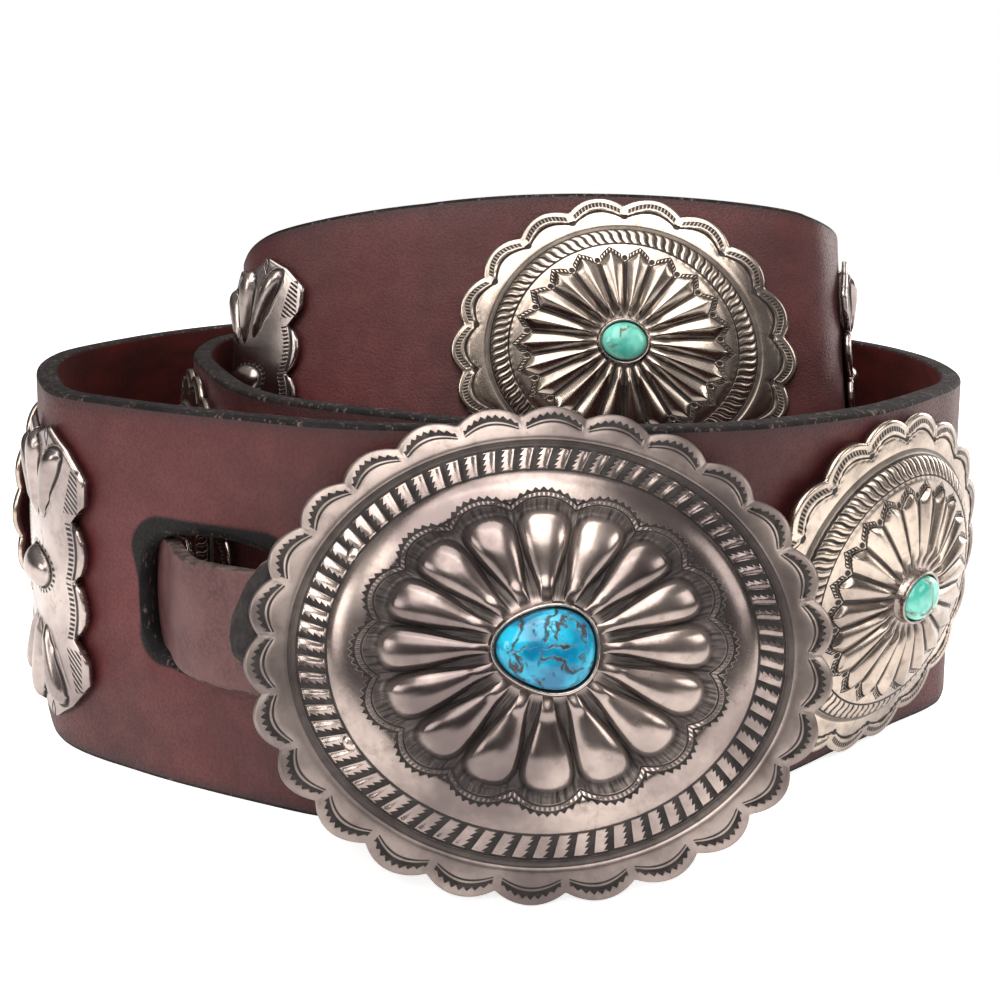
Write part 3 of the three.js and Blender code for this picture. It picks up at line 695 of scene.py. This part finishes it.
def along_curve(curve, share):
    """The value at a share, on a smooth line through a table of shares and values."""
    last = len(curve) - 1
    k = next((i for i in range(last) if share <= curve[i + 1][0]), last - 1)
    (x1, y1), (x2, y2) = curve[k], curve[k + 1]
    x0, y0 = curve[k - 1] if k else (2 * x1 - x2, y1)
    x3, y3 = curve[k + 2] if k + 2 <= last else (2 * x2 - x1, y2)
    width = x2 - x1
    t = min(max((share - x1) / width, 0), 1)
    start = (y2 - y0) / (x2 - x0) * width
    end = (y3 - y1) / (x3 - x1) * width
    return (
        y1 * (2 * t ** 3 - 3 * t * t + 1) + start * (t ** 3 - 2 * t * t + t)
        + y2 * (3 * t * t - 2 * t ** 3) + end * (t ** 3 - t * t)
    )


def eased(value, low, high):
    t = min(max((value - low) / (high - low), 0), 1)
    return t * t * (3 - 2 * t)


def in_repeat(u, count, turned=0.0):
    return ((u - turned) * count + 0.5) % 1 - 0.5


def buckle_height(u, share):
    height = along_curve(BUCKLE_CURVE, share) * BUCKLE_DOME
    p = abs(in_repeat(u, BUCKLE_PETALS))
    width = 0.27 + 0.23 * eased(share, 0.16, 0.42)
    inside = 1 - (p / width) ** 2.6 - (max(share - PETAL_ROUND, 0) / PETAL_END) ** 3
    swell = max(0.0, inside) ** 0.6 * (0.6 + 0.4 * eased(share, 0.25, 0.45)) * eased(share, 0.18, 0.26)
    height += PETAL_RISE * swell - PETAL_SINK * eased(share, 0.18, 0.28) * (1 - eased(share, 0.54, 0.6))
    r = abs(in_repeat(u + ROPE_SLOPE * (share - ROPE_MIDDLE) - 0.001, BUCKLE_ROPE))
    in_rope = eased(share, 0.72, 0.735) * (1 - eased(share, 0.81, 0.822))
    height += ROPE_RISE * in_rope * (1 - eased(r, 0.26, 0.4))
    height -= 0.5 * exp(-((share - BUCKLE_GROOVE) / 0.008) ** 2)
    q = in_repeat(u, BUCKLE_SCALLOPS, BUCKLE_SCALLOP_TURN)
    arc = RIM_ARC - RIM_BOW * (2 * q) ** 2
    height -= 0.35 * exp(-((share - arc + 0.014) / 0.014) ** 2) * eased(0.46 - abs(q), 0, 0.06)
    return height


def buckle_edge(u, share):
    dip = (2 * in_repeat(u, BUCKLE_SCALLOPS, BUCKLE_SCALLOP_TURN)) ** 2
    return share * (1 - RIM_DIP * dip * eased(share, RIM_START, 1))


# the turn at which a plate's back takes its height from the front, beside a petal's ridge
BACK_TURN = 0.013


def plate_skin(bm, around, along, width, height, wall, rise_at, edge_at, floor):
    """A raised plate: the front out to its rim, over it, and back in behind."""
    def point(u, v):
        angle = 2 * pi * u
        share = v / FRONT_SHARE
        if share <= 1.0001:
            reach, z = edge_at(u, min(share, 1)), rise_at(u, min(share, 1))
        else:
            back = (v - FRONT_SHARE) / (1 - FRONT_SHARE)
            inward = max(0.0, 1 - max(0.0, back - 0.1) / 0.9)
            reach = edge_at(u, 1) * inward
            z = floor if back < 0.101 else max(floor, rise_at(BACK_TURN, inward) - wall * 1.6)
        return Vector((width / 2 * reach * cos(angle), height / 2 * reach * sin(angle), z))
    skin(bm, around, along, point, None, lambda u, v: STAMPED if v < STAMPED_SHARE else PLAIN)


def stone_reach(width, height, freeform, turn):
    """An oval's edge at a turn, swollen to three soft corners by a freeform share."""
    swell = 1 + freeform * cos(3 * (turn - radians(58)))
    return width / 2 * swell * cos(turn), height / 2 * swell * sin(turn)


def bezel_skin(bm, stone, freeform, seat, depth):
    """The soldered strip round a stone, with its lip rubbed over."""
    levels = (
        (0, -depth), (0, BEZEL_HEIGHT * 0.9), (0.2, BEZEL_HEIGHT), (0.55, BEZEL_HEIGHT),
        (BEZEL_WALL, BEZEL_HEIGHT * 0.82), (BEZEL_WALL, 0.25), (BEZEL_WALL + 0.35, 0),
        (BEZEL_WALL + 0.35, -depth), (0, -depth),
    )

    def point(u, v):
        out, z = levels[round(v * (len(levels) - 1))]
        grown = 2 * (SEAT_GAP + out)
        x, y = stone_reach(stone[0] + grown, stone[1] + grown, freeform, 2 * pi * u)
        return Vector((x, y, seat + z))
    skin(bm, 96, len(levels) - 1, point, lambda u, v: (u, 0.02), lambda u, v: PLAIN)


def rod_skin(bm, start, end, radius):
    """A plain wire between two points, with rounded ends."""
    axis = (end - start).normalized()
    side = axis.orthogonal().normalized()
    other = axis.cross(side)
    ends = ((0, 0.0), (0.05, 0.5), (0.3, 0.85), (1, 1.0))
    levels = [(start + axis * radius * rise, reach) for rise, reach in ends]
    levels += [(end - axis * radius * rise, reach) for rise, reach in reversed(ends)]

    def point(u, v):
        middle, reach = levels[round(v * (len(levels) - 1))]
        turn = 2 * pi * u
        return middle + (side * cos(turn) + other * sin(turn)) * radius * reach
    skin(bm, 20, len(levels) - 1, point, lambda u, v: (u, 0.02), lambda u, v: PLAIN)


def silver_finish(name, stamp, deep, pale):
    """Old silver: mauve grey, brighter where it is rubbed, black in the stamped recesses."""
    material, wire, shader = blank_material(name)
    dark, relief = stamp(wire.across("UV", "X"), wire.across("UV", "Y"), wire)
    cloud = speckle(wire, 48, 6)
    grime = speckle(wire, 330, 6, (1, 1, 1), 0.65)
    scratches = speckle(wire, 1500, 4, (1, 0.25, 1))
    metal = cloud.rise(0.32, 0.7).colour(deep, pale)
    metal = (grime.rise(0.48, 0.78) * 0.55).colour(metal, tone(112, 96, 92))
    soot = (dark * (0.82 + grime * 0.3)).least(1.0)
    soot.colour(metal, tone(26, 22, 22)).feed(shader, "Base Color")
    (0.15 + cloud * 0.08 + grime * 0.12 + dark * 0.3).feed(shader, "Roughness")
    (1 - dark * 0.55).feed(shader, "Metallic")
    height = relief - dark * 0.8 + scratches * 0.035 + grime * 0.05 + cloud * 0.1
    height.emboss(shader, 0.75, 0.00035)
    return material


def darkest(*marks):
    dark = marks[0]
    for mark in marks[1:]:
        dark = dark.most(mark)
    return dark.least(1.0)


def buckle_stamps(u, v, wire):
    share = v / FRONT_SHARE
    q = u.repeat(BUCKLE_SCALLOPS, BUCKLE_SCALLOP_TURN)
    ends = abs(q).fall(0.42, 0.45)
    top = share - RIM_ARC + (q * 2) ** 2 * RIM_BOW
    tooth = abs(u.repeat(BUCKLE_SCALLOPS * 9, BUCKLE_SCALLOP_TURN))
    teeth = (tooth * 2 + top / 0.017).fall(0.8, 1.05) * top.rise(-0.003, 0.0) * ends
    crescent = top.fall(-0.002, 0.002) * (top + 0.034).rise(-0.003, 0.003) * ends
    light = (top + 0.021).line(0.007, 0.002) * ends
    crescent = crescent * (1 - light * 0.85)
    groove = (share - BUCKLE_GROOVE - 0.003).line(0.016, 0.008)
    rope = (u + share * ROPE_SLOPE).repeat(BUCKLE_ROPE, ROPE_MIDDLE * ROPE_SLOPE)
    jag = wire.math("FRACT", share * 42) * 0.2
    gap = (rope + jag).rise(0.2, 0.24).most(rope.fall(-0.48, -0.44))
    walls = share.fall(0.72, 0.728).most(share.rise(0.812, 0.82))
    saw = share.band(0.715, 0.825, 0.003) * gap.most(walls)
    p = abs(u.repeat(BUCKLE_PETALS))
    bow = 1 - (p * 2) ** 2
    arc = share - 0.578 - bow * 0.05
    small = abs(u.repeat(BUCKLE_PETALS * 9))
    spikes = (small * 2 + arc / 0.016).fall(0.8, 1.05) * arc.rise(-0.003, 0.0)
    hatch = abs(u.repeat(BUCKLE_PETALS * 15)).rise(0.2, 0.32) * (arc + 0.016).line(0.014, 0.003) * 0.7
    outline = (arc + 0.003).line(0.006, 0.003).most((arc + 0.027).line(0.004, 0.003))
    width = share.rise(0.16, 0.42) * 0.23 + 0.27
    within = (p / width) ** 2.6 + ((share - PETAL_ROUND).most(0.0) / PETAL_END) ** 3
    stria = wire.node("TexNoise", {
        "Vector": wire.node("CombineXYZ", {0: u * 260, 1: share * 7}), "Scale": 1.0, "Detail": 2.0,
    }).rise(0.35, 0.7)
    valley = within.rise(0.42, 0.9) * (arc + 0.03).fall(-0.006, 0.006) * share.rise(0.18, 0.22)
    valley = valley * (0.72 + stria * 0.3)
    border = share.rise(0.82, 0.85) * 0.3
    return darkest(teeth, crescent, groove * 0.85, saw, hatch, outline, valley, spikes, border), light * 0.3


buckle_silver = silver_finish("buckle_silver", buckle_stamps, tone(108, 98, 97), tone(184, 170, 163))
plain_silver = silver_finish(
    "plain_silver",
    lambda u, v, wire: (speckle(wire, 240, 5).rise(0.6, 0.8) * 0.35, speckle(wire, 400, 4)),
    tone(150, 139, 135), tone(200, 188, 180),
)

buckle_bm = bmesh.new()
BUCKLE_SEAT = buckle_height(0.03, 0.14)
plate_skin(buckle_bm, 832, 112, BUCKLE_WIDTH, BUCKLE_HEIGHT, BUCKLE_WALL, buckle_height, buckle_edge, 0.1)
bezel_skin(buckle_bm, BUCKLE_STONE, BUCKLE_FREEFORM, BUCKLE_SEAT, 0.8)
bar_foot = Vector((BAR_ACROSS, -BAR_LENGTH / 2, BAR_DEPTH))
bar_top = Vector((BAR_ACROSS, BAR_LENGTH / 2, BAR_DEPTH))
rod_skin(buckle_bm, bar_foot, bar_top, BAR_RADIUS)
post_reach = BAR_LENGTH / 2 - BAR_RADIUS
for x, y in ((BAR_ACROSS, post_reach), (BAR_ACROSS, -post_reach), (-BAR_ACROSS, 0)):
    rod_skin(buckle_bm, Vector((x, y, BAR_DEPTH)), Vector((x, y, POST_END)), BUCKLE_POST_RADIUS)
hook_root = Vector((-BAR_ACROSS + 0.4, 0, BAR_DEPTH))
hook_tip = Vector((-BAR_ACROSS - HOOK_LENGTH, 0, BAR_DEPTH))
rod_skin(buckle_bm, hook_root, hook_tip, HOOK_RADIUS)
close_ends(buckle_bm, PLAIN)
bmesh.ops.transform(buckle_bm, matrix=buckle_place, verts=buckle_bm.verts)
as_piece(buckle_bm, "buckle_plate", (buckle_silver, plain_silver), ("buckle",))


# Buckle's stone
# A free-form turquoise cabochon, sky blue with brown-black matrix, ground smooth and polished, set in the
# bezel on the buckle's raised middle.
STONE_FRONT = 0.84
STONE_WALL = 0.18


def stone_skin(bm, stone, freeform, seat):
    """A domed stone with a flat back."""
    def point(u, v):
        turn = 2 * pi * u
        x, y = stone_reach(stone[0], stone[1], freeform, turn)
        if v > STONE_FRONT:
            reach = (1 - v) / (1 - STONE_FRONT)
            return Vector((x * reach, y * reach, seat + SEAT_GAP))
        slope = v / STONE_FRONT * pi / 2
        reach, rise = sin(slope) ** 0.8, cos(slope) ** 0.75
        bump = 0.1 * noise.noise(Vector((x * reach / 4, y * reach / 4, seat)))
        dome = stone[2] * mix(STONE_WALL, 1, rise)
        return Vector((x * reach, y * reach, seat + SEAT_GAP + dome + bump * rise))
    skin(bm, 72, 24, point)


def turquoise(name, shift, pale, deep, vein, amount):
    """Polished turquoise with dark matrix in veins and blotches."""
    material, wire, shader = blank_material(name)
    spot = wire.node("TexCoord", output="Object")
    spot = wire.node("Mapping", {"Vector": spot, "Location": shift})
    bend = wire.node("TexNoise", {"Vector": spot, "Scale": 260.0, "Detail": 4.0}, "Color")
    bent = wire.node("VectorMath", {0: bend, 1: (0.006, 0.006, 0.006)}, operation="MULTIPLY")
    bent = wire.node("VectorMath", {0: spot, 1: bent}, operation="ADD")
    cloud = wire.node("TexNoise", {"Vector": spot, "Scale": 210.0, "Detail": 5.0})
    cracks = wire.node("TexVoronoi", {"Vector": bent, "Scale": 130.0}, "Distance", feature="DISTANCE_TO_EDGE")
    blotch = wire.node("TexNoise", {"Vector": bent, "Scale": 250.0, "Detail": 6.0, "Roughness": 0.65})
    veins = cracks.fall(0.015, 0.065) * blotch.rise(0.42, 0.55)
    matrix = veins.most(blotch.rise(0.6 - amount, 0.66 - amount))
    body = cloud.rise(0.35, 0.68).colour(deep, pale)
    matrix.colour(body, vein).feed(shader, "Base Color")
    (0.14 + matrix * 0.3).feed(shader, "Roughness")
    (1 - matrix).emboss(shader, 0.35, 0.0003)
    shader.inputs["Specular IOR Level"].default_value = 0.6
    return material


buckle_stone_bm = bmesh.new()
stone_skin(buckle_stone_bm, BUCKLE_STONE, BUCKLE_FREEFORM, BUCKLE_SEAT)
close_ends(buckle_stone_bm, 0)
bmesh.ops.transform(buckle_stone_bm, matrix=buckle_place, verts=buckle_stone_bm.verts)
sky_turquoise = turquoise("sky_turquoise", (0.0, 0.0, 0.0), tone(28, 176, 210), tone(4, 104, 142),
                          tone(34, 28, 30), 0.03)
as_piece(buckle_stone_bm, "buckle_cabochon", (sky_turquoise,), ("buckle_stone",))


# Conchos and their stones
# Six oval plates of raised silver with eighteen scallops, a rope border and twenty-two petals, each with a
# small turquoise in a bezel. A post behind each holds it to the leather. They are stiff, and follow the
# strap's curve only in part, but for the innermost, which is bent to it.
CONCHO_WIDTH = 83.5
CONCHO_HEIGHT = 72
CONCHO_DOME = 8.5
CONCHO_WALL = 1.2
CONCHO_SCALLOPS = 18
CONCHO_PETALS = 22
CONCHO_ROPE = 88
CONCHO_STONE = (11.6, 9, 3.6)        # width, height and rise
POST_RADIUS = 3.5
PLATE_GAP = 0.8
# places on the plate, as shares of its half sizes
CONCHO_TIP = 0.612
STRAND_MIDDLE = 0.72
STRAND_SLOPE = 0.12
STRAND_BEND = 0.0016
STRAND_WAVE = 62
CONCHO_RING = 0.79
CONCHO_ARC = 0.862
CONCHO_BOW = 0.055
CONCHO_DIP = 0.06
CONCHO_CURVE = (
    (0, 0.96), (0.2, 0.94), (0.4, 0.86), (0.56, 0.74), (0.66, 0.6), (0.76, 0.4), (0.785, 0.31), (0.82, 0.27),
    (0.9, 0.21), (1, 0.17),
)
# share of the strap's length from the front end, and how far the plate follows the strap's curve
CONCHO_PLACES = ((0.136, 0.4), (0.279, 0.4), (0.429, 0.4), (0.574, 0.4), (0.717, 0.4), (0.852, 1.0))


def concho_height(u, share):
    height = along_curve(CONCHO_CURVE, share) * CONCHO_DOME
    p = abs(in_repeat(u, CONCHO_PETALS))
    width = 0.5 * min(max((CONCHO_TIP - share) / 0.075, 0), 1)
    ridge = max(0.0, 1 - (p / width) ** 1.6) if width > 0.01 else 0.0
    height += (1.15 * ridge - 0.3) * eased(share, 0.18, 0.26) * (1 - eased(share, 0.6, 0.63))
    strand = share - STRAND_MIDDLE
    r = abs(in_repeat(u - STRAND_SLOPE * strand + STRAND_BEND * sin(STRAND_WAVE * strand), CONCHO_ROPE))
    height += 0.28 * eased(share, 0.665, 0.68) * (1 - eased(share, 0.76, 0.775)) * (1 - eased(r, 0.22, 0.42))
    height -= 0.4 * exp(-((share - CONCHO_RING) / 0.013) ** 2)
    q = in_repeat(u, CONCHO_SCALLOPS)
    arc = CONCHO_ARC + CONCHO_BOW * (1 - (2 * q) ** 2)
    height += 0.35 * exp(-((share - arc - 0.014) / 0.011) ** 2) * eased(0.5 - abs(q), 0, 0.08)
    height -= 0.3 * exp(-((share - arc + 0.004) / 0.008) ** 2)
    return height


def concho_edge(u, share):
    return share * (1 - CONCHO_DIP * (2 * in_repeat(u, CONCHO_SCALLOPS)) ** 2 * eased(share, RIM_START, 1))


def bent_on_strap(bm, distance, bend):
    """Sets a piece on the grain side, bent to the strap's curve by a share."""
    place, up, out = strap_at(distance)
    right = up.cross(out)
    for vert in bm.verts:
        x, y, z = vert.co
        straight = place + right * x + up * y + out * (z + PLATE_GAP)
        there, up_there, out_there = strap_at(distance - x)
        vert.co = straight.lerp(there + up_there * y + out_there * (z + PLATE_GAP), bend)


def concho_stamps(u, v, wire):
    share = v / FRONT_SHARE
    q = u.repeat(CONCHO_SCALLOPS)
    arch = 1 - (q * 2) ** 2
    arc = share - CONCHO_ARC - arch * CONCHO_BOW
    fine = abs(u.repeat(CONCHO_SCALLOPS * 16)).rise(0.1, 0.26) * 0.6 + 0.4
    outer = share - 0.972 + (q * 2) ** 2 * 0.03
    crescent = outer.fall(-0.004, 0.004) * (arc - 0.026).rise(-0.004, 0.004) * abs(q).fall(0.4, 0.46) * fine
    groove = (arc + 0.004).line(0.01, 0.006)
    dot = (((abs(q) - 0.5) * 12) ** 2 + ((share - 0.872) * 39) ** 2) ** 0.5
    dots = dot.fall(0.75, 1.0)
    ring = (share - CONCHO_RING).line(0.012, 0.012) * 0.75
    strand = share - STRAND_MIDDLE
    bend = wire.math("SINE", strand * STRAND_WAVE) * STRAND_BEND
    rope = abs((u - strand * STRAND_SLOPE + bend).repeat(CONCHO_ROPE))
    strokes = share.band(0.672, 0.77, 0.004) * rope.rise(0.26, 0.42)
    border = (share - 0.772).line(0.006, 0.004).most((share - 0.668).line(0.006, 0.004))
    p = abs(u.repeat(CONCHO_PETALS))
    tip = share - CONCHO_TIP + p * 0.15
    over_tip = p.fall(0.34, 0.38)
    hatch = (tip - 0.02).line(0.018, 0.003) * abs(u.repeat(CONCHO_PETALS * 10)).rise(0.15, 0.3)
    zigzag = hatch.most((tip - 0.034).line(0.004, 0.003)).most((tip - 0.008).line(0.003, 0.003)) * over_tip
    punched = ((((p - 0.5) * 7.4) ** 2 + ((share - 0.568) * 39) ** 2) ** 0.5).fall(0.55, 0.8)
    inside = tip.fall(-0.006, 0.0) * share.rise(0.17, 0.19)
    valley = p.rise(0.37, 0.47) * share.fall(0.535, 0.545) * share.rise(0.17, 0.19)
    edge = (tip + 0.002).line(0.005, 0.004)
    root = share.band(0.17, 0.27, 0.03) * p.rise(0.12, 0.4)
    dark = darkest(crescent, groove, dots, ring, strokes, border, zigzag, punched, valley, edge, root * 0.8)
    return dark, (1 - p * 2) * inside * 0.25


plate_silver = silver_finish("plate_silver", concho_stamps, tone(150, 138, 130), tone(218, 203, 188))
sea_turquoise = turquoise("sea_turquoise", (0.013, 0.02, 0.0), tone(128, 220, 202), tone(72, 176, 160),
                          tone(104, 88, 60), -0.06)
CONCHO_SEAT = concho_height(0.02, 0.12)
for number, (share, bend) in enumerate(CONCHO_PLACES, 1):
    bm = bmesh.new()
    plate_skin(bm, 396, 70, CONCHO_WIDTH, CONCHO_HEIGHT, CONCHO_WALL, concho_height, concho_edge, 0.1)
    bezel_skin(bm, CONCHO_STONE, 0, CONCHO_SEAT, 0.6)
    rod_skin(bm, Vector((0, 0, 0)), Vector((0, 0, CONCHO_SEAT - 1)), POST_RADIUS)
    close_ends(bm, PLAIN)
    bent_on_strap(bm, share * coil_line.length, bend)
    as_piece(bm, f"concho_plate_{number}", (plate_silver, plain_silver), (f"concho_{number}",))
    bm = bmesh.new()
    stone_skin(bm, CONCHO_STONE, 0, CONCHO_SEAT)
    close_ends(bm, 0)
    bent_on_strap(bm, share * coil_line.length, bend)
    as_piece(bm, f"concho_cabochon_{number}", (sea_turquoise,), (f"concho_stone_{number}",))


# Butterflies
# Seven upright spacers of flat silver, each with three long lobes raised from behind at either end, a button
# in the middle and stamped borders. They are bent to the strap and stand between the conchos.
BUTTERFLY_WIDTH = 38
BUTTERFLY_HEIGHT = 62
BUTTERFLY_WALL = 1.4
LOBE_RELIEF = 3
BUTTON_WIDTH = 14
BUTTON_HEIGHT = 8.5
BUTTERFLY_PLACES = (0.075, 0.207, 0.351, 0.483, 0.646, 0.79, 0.928)
BUTTERFLY_BEND = 0.9
# a quarter of the outline from the waist to the tip, as shares of the half sizes
BUTTERFLY_QUARTER = (
    (0.8, 0), (0.9, 0.05), (0.95, 0.12), (0.97, 0.19), (0.95, 0.27), (0.88, 0.34), (0.78, 0.39),
    (0.88, 0.455), (0.99, 0.52), (1, 0.68), (0.86, 0.77), (0.7, 0.87), (0.55, 0.925), (0.36, 1), (0.2, 0.96),
    (0.08, 0.93),
)
# across at the outer end, from and to, of the lobes at one end
LOBES = ((-0.54, 0.37, 0.86), (0, 0.35, 0.93), (0.54, 0.37, 0.86))
LOBE_WIDTH = 0.46
# where a lobe starts, as a share of its place across, and how narrow it is there
LOBE_START = 0.4
LOBE_TAPER = 0.22

side = [(x, -y) for x, y in reversed(BUTTERFLY_QUARTER[1:])] + list(BUTTERFLY_QUARTER)
butterfly_outline = side + [(-x, -y) for x, y in side]


def butterfly_height(x, y):
    """The height over the plate's back, from places in shares of the half sizes."""
    height = BUTTERFLY_WALL
    if y < 0:
        x, y = -x, -y
    for across, start, end in LOBES:
        t = (y - start) / (end - start)
        if not 0 < t < 1:
            continue
        middle = across * mix(LOBE_START, 1, t)
        taper = mix(LOBE_TAPER, 1, t)
        inside = 1 - ((x - middle) / (LOBE_WIDTH / 2 * taper)) ** 2 - t ** 5
        if inside > 0:
            full = LOBE_RELIEF * (0.3 + 0.7 * t) * min(1, t * 6) ** 0.5
            height = max(height, BUTTERFLY_WALL + full * inside ** 0.55)
    turn = hypot(x * BUTTERFLY_WIDTH / BUTTON_WIDTH, y * BUTTERFLY_HEIGHT / BUTTON_HEIGHT)
    if turn < 1:
        height = max(height, BUTTERFLY_WALL + LOBE_RELIEF * (1 - turn * turn) ** 0.6)
    return height


def butterfly_point(u, v):
    count = len(butterfly_outline)
    place = u * count
    k = int(place) % count
    (x1, y1), (x2, y2) = butterfly_outline[k], butterfly_outline[(k + 1) % count]
    x, y = mix(x1, x2, place % 1), mix(y1, y2, place % 1)
    share = v / FRONT_SHARE
    if share <= 1.0001:
        share = min(share, 1)
        z = butterfly_height(x * share, y * share) - 0.35 * eased(share, 0.96, 1)
    else:
        share, z = max(0.0, 1 - max(0.0, (v - FRONT_SHARE) / (1 - FRONT_SHARE) - 0.1) / 0.9), 0.02
    return Vector((x * share * BUTTERFLY_WIDTH / 2, y * share * BUTTERFLY_HEIGHT / 2, z))


def butterfly_mark(u, v):
    spot = butterfly_point(u, v)
    return spot.x / BUTTERFLY_WIDTH + 0.5, spot.y / BUTTERFLY_HEIGHT + 0.5


def butterfly_stamps(u, v, wire):
    x, y = (u - 0.5) * 2, (v - 0.5) * 2
    end = wire.math("SIGN", y)
    x_end, y_end = x * end, abs(y)
    feet = []
    for across, start, stop in LOBES:
        t = (y_end - start) / (stop - start)
        middle = mix(LOBE_START, 1, t) * across
        width = mix(LOBE_TAPER, 1, t) * (LOBE_WIDTH / 2)
        ring = ((((x_end - middle) / width) ** 2 + t.most(0.0) ** 5) ** 0.5 - 1.05).line(0.06, 0.06)
        feet.append(ring * t.rise(-0.02, 0.02))
    across_button = x * (BUTTERFLY_WIDTH / BUTTON_WIDTH)
    up_button = y * (BUTTERFLY_HEIGHT / BUTTON_HEIGHT)
    from_button = (across_button ** 2 + up_button ** 2) ** 0.5
    angle = wire.math("ARCTAN2", up_button, across_button) / (2 * pi)
    rays = abs(angle.repeat(26)).fall(0.16, 0.28) * from_button.band(1.14, 1.28, 0.03)
    seat = (from_button - 1.05).line(0.06, 0.05)
    side = abs(x)
    hump = 1 - ((y_end - 0.2) / 0.19) ** 2
    on_hump = hump.rise(0.0, 0.1)
    rim = (side - 0.8 - hump * 0.06).line(0.02, 0.02) * on_hump
    teeth = (side - 0.72 - hump * 0.06).line(0.06, 0.02) * abs(y.repeat(30)).rise(0.18, 0.32) * on_hump
    flank = side.band(0.66, 0.9, 0.01) * y_end.band(0.46, 0.74, 0.01)
    flank = flank * (side - y_end * 0.5 - 0.42).rise(0, 0.02)
    hatched = flank * abs((y * 2 + x).repeat(13)).rise(0.18, 0.3)
    tips = ((abs(side - 0.36) * 1.5 + abs(y_end - 0.93)) - 0.06).line(0.014, 0.016)
    return darkest(*feet, rays, seat, rim, teeth, hatched, tips), 0.0


butterfly_silver = silver_finish("butterfly_silver", butterfly_stamps, tone(146, 135, 133),
                                 tone(200, 188, 182))
for number, share in enumerate(BUTTERFLY_PLACES, 1):
    bm = bmesh.new()
    skin(bm, 4 * len(butterfly_outline), 76, butterfly_point, butterfly_mark,
         lambda u, v: STAMPED if v < STAMPED_SHARE else PLAIN)
    close_ends(bm, PLAIN)
    bent_on_strap(bm, share * coil_line.length, BUTTERFLY_BEND)
    as_piece(bm, f"butterfly_plate_{number}", (butterfly_silver, plain_silver), (f"butterfly_{number}",))
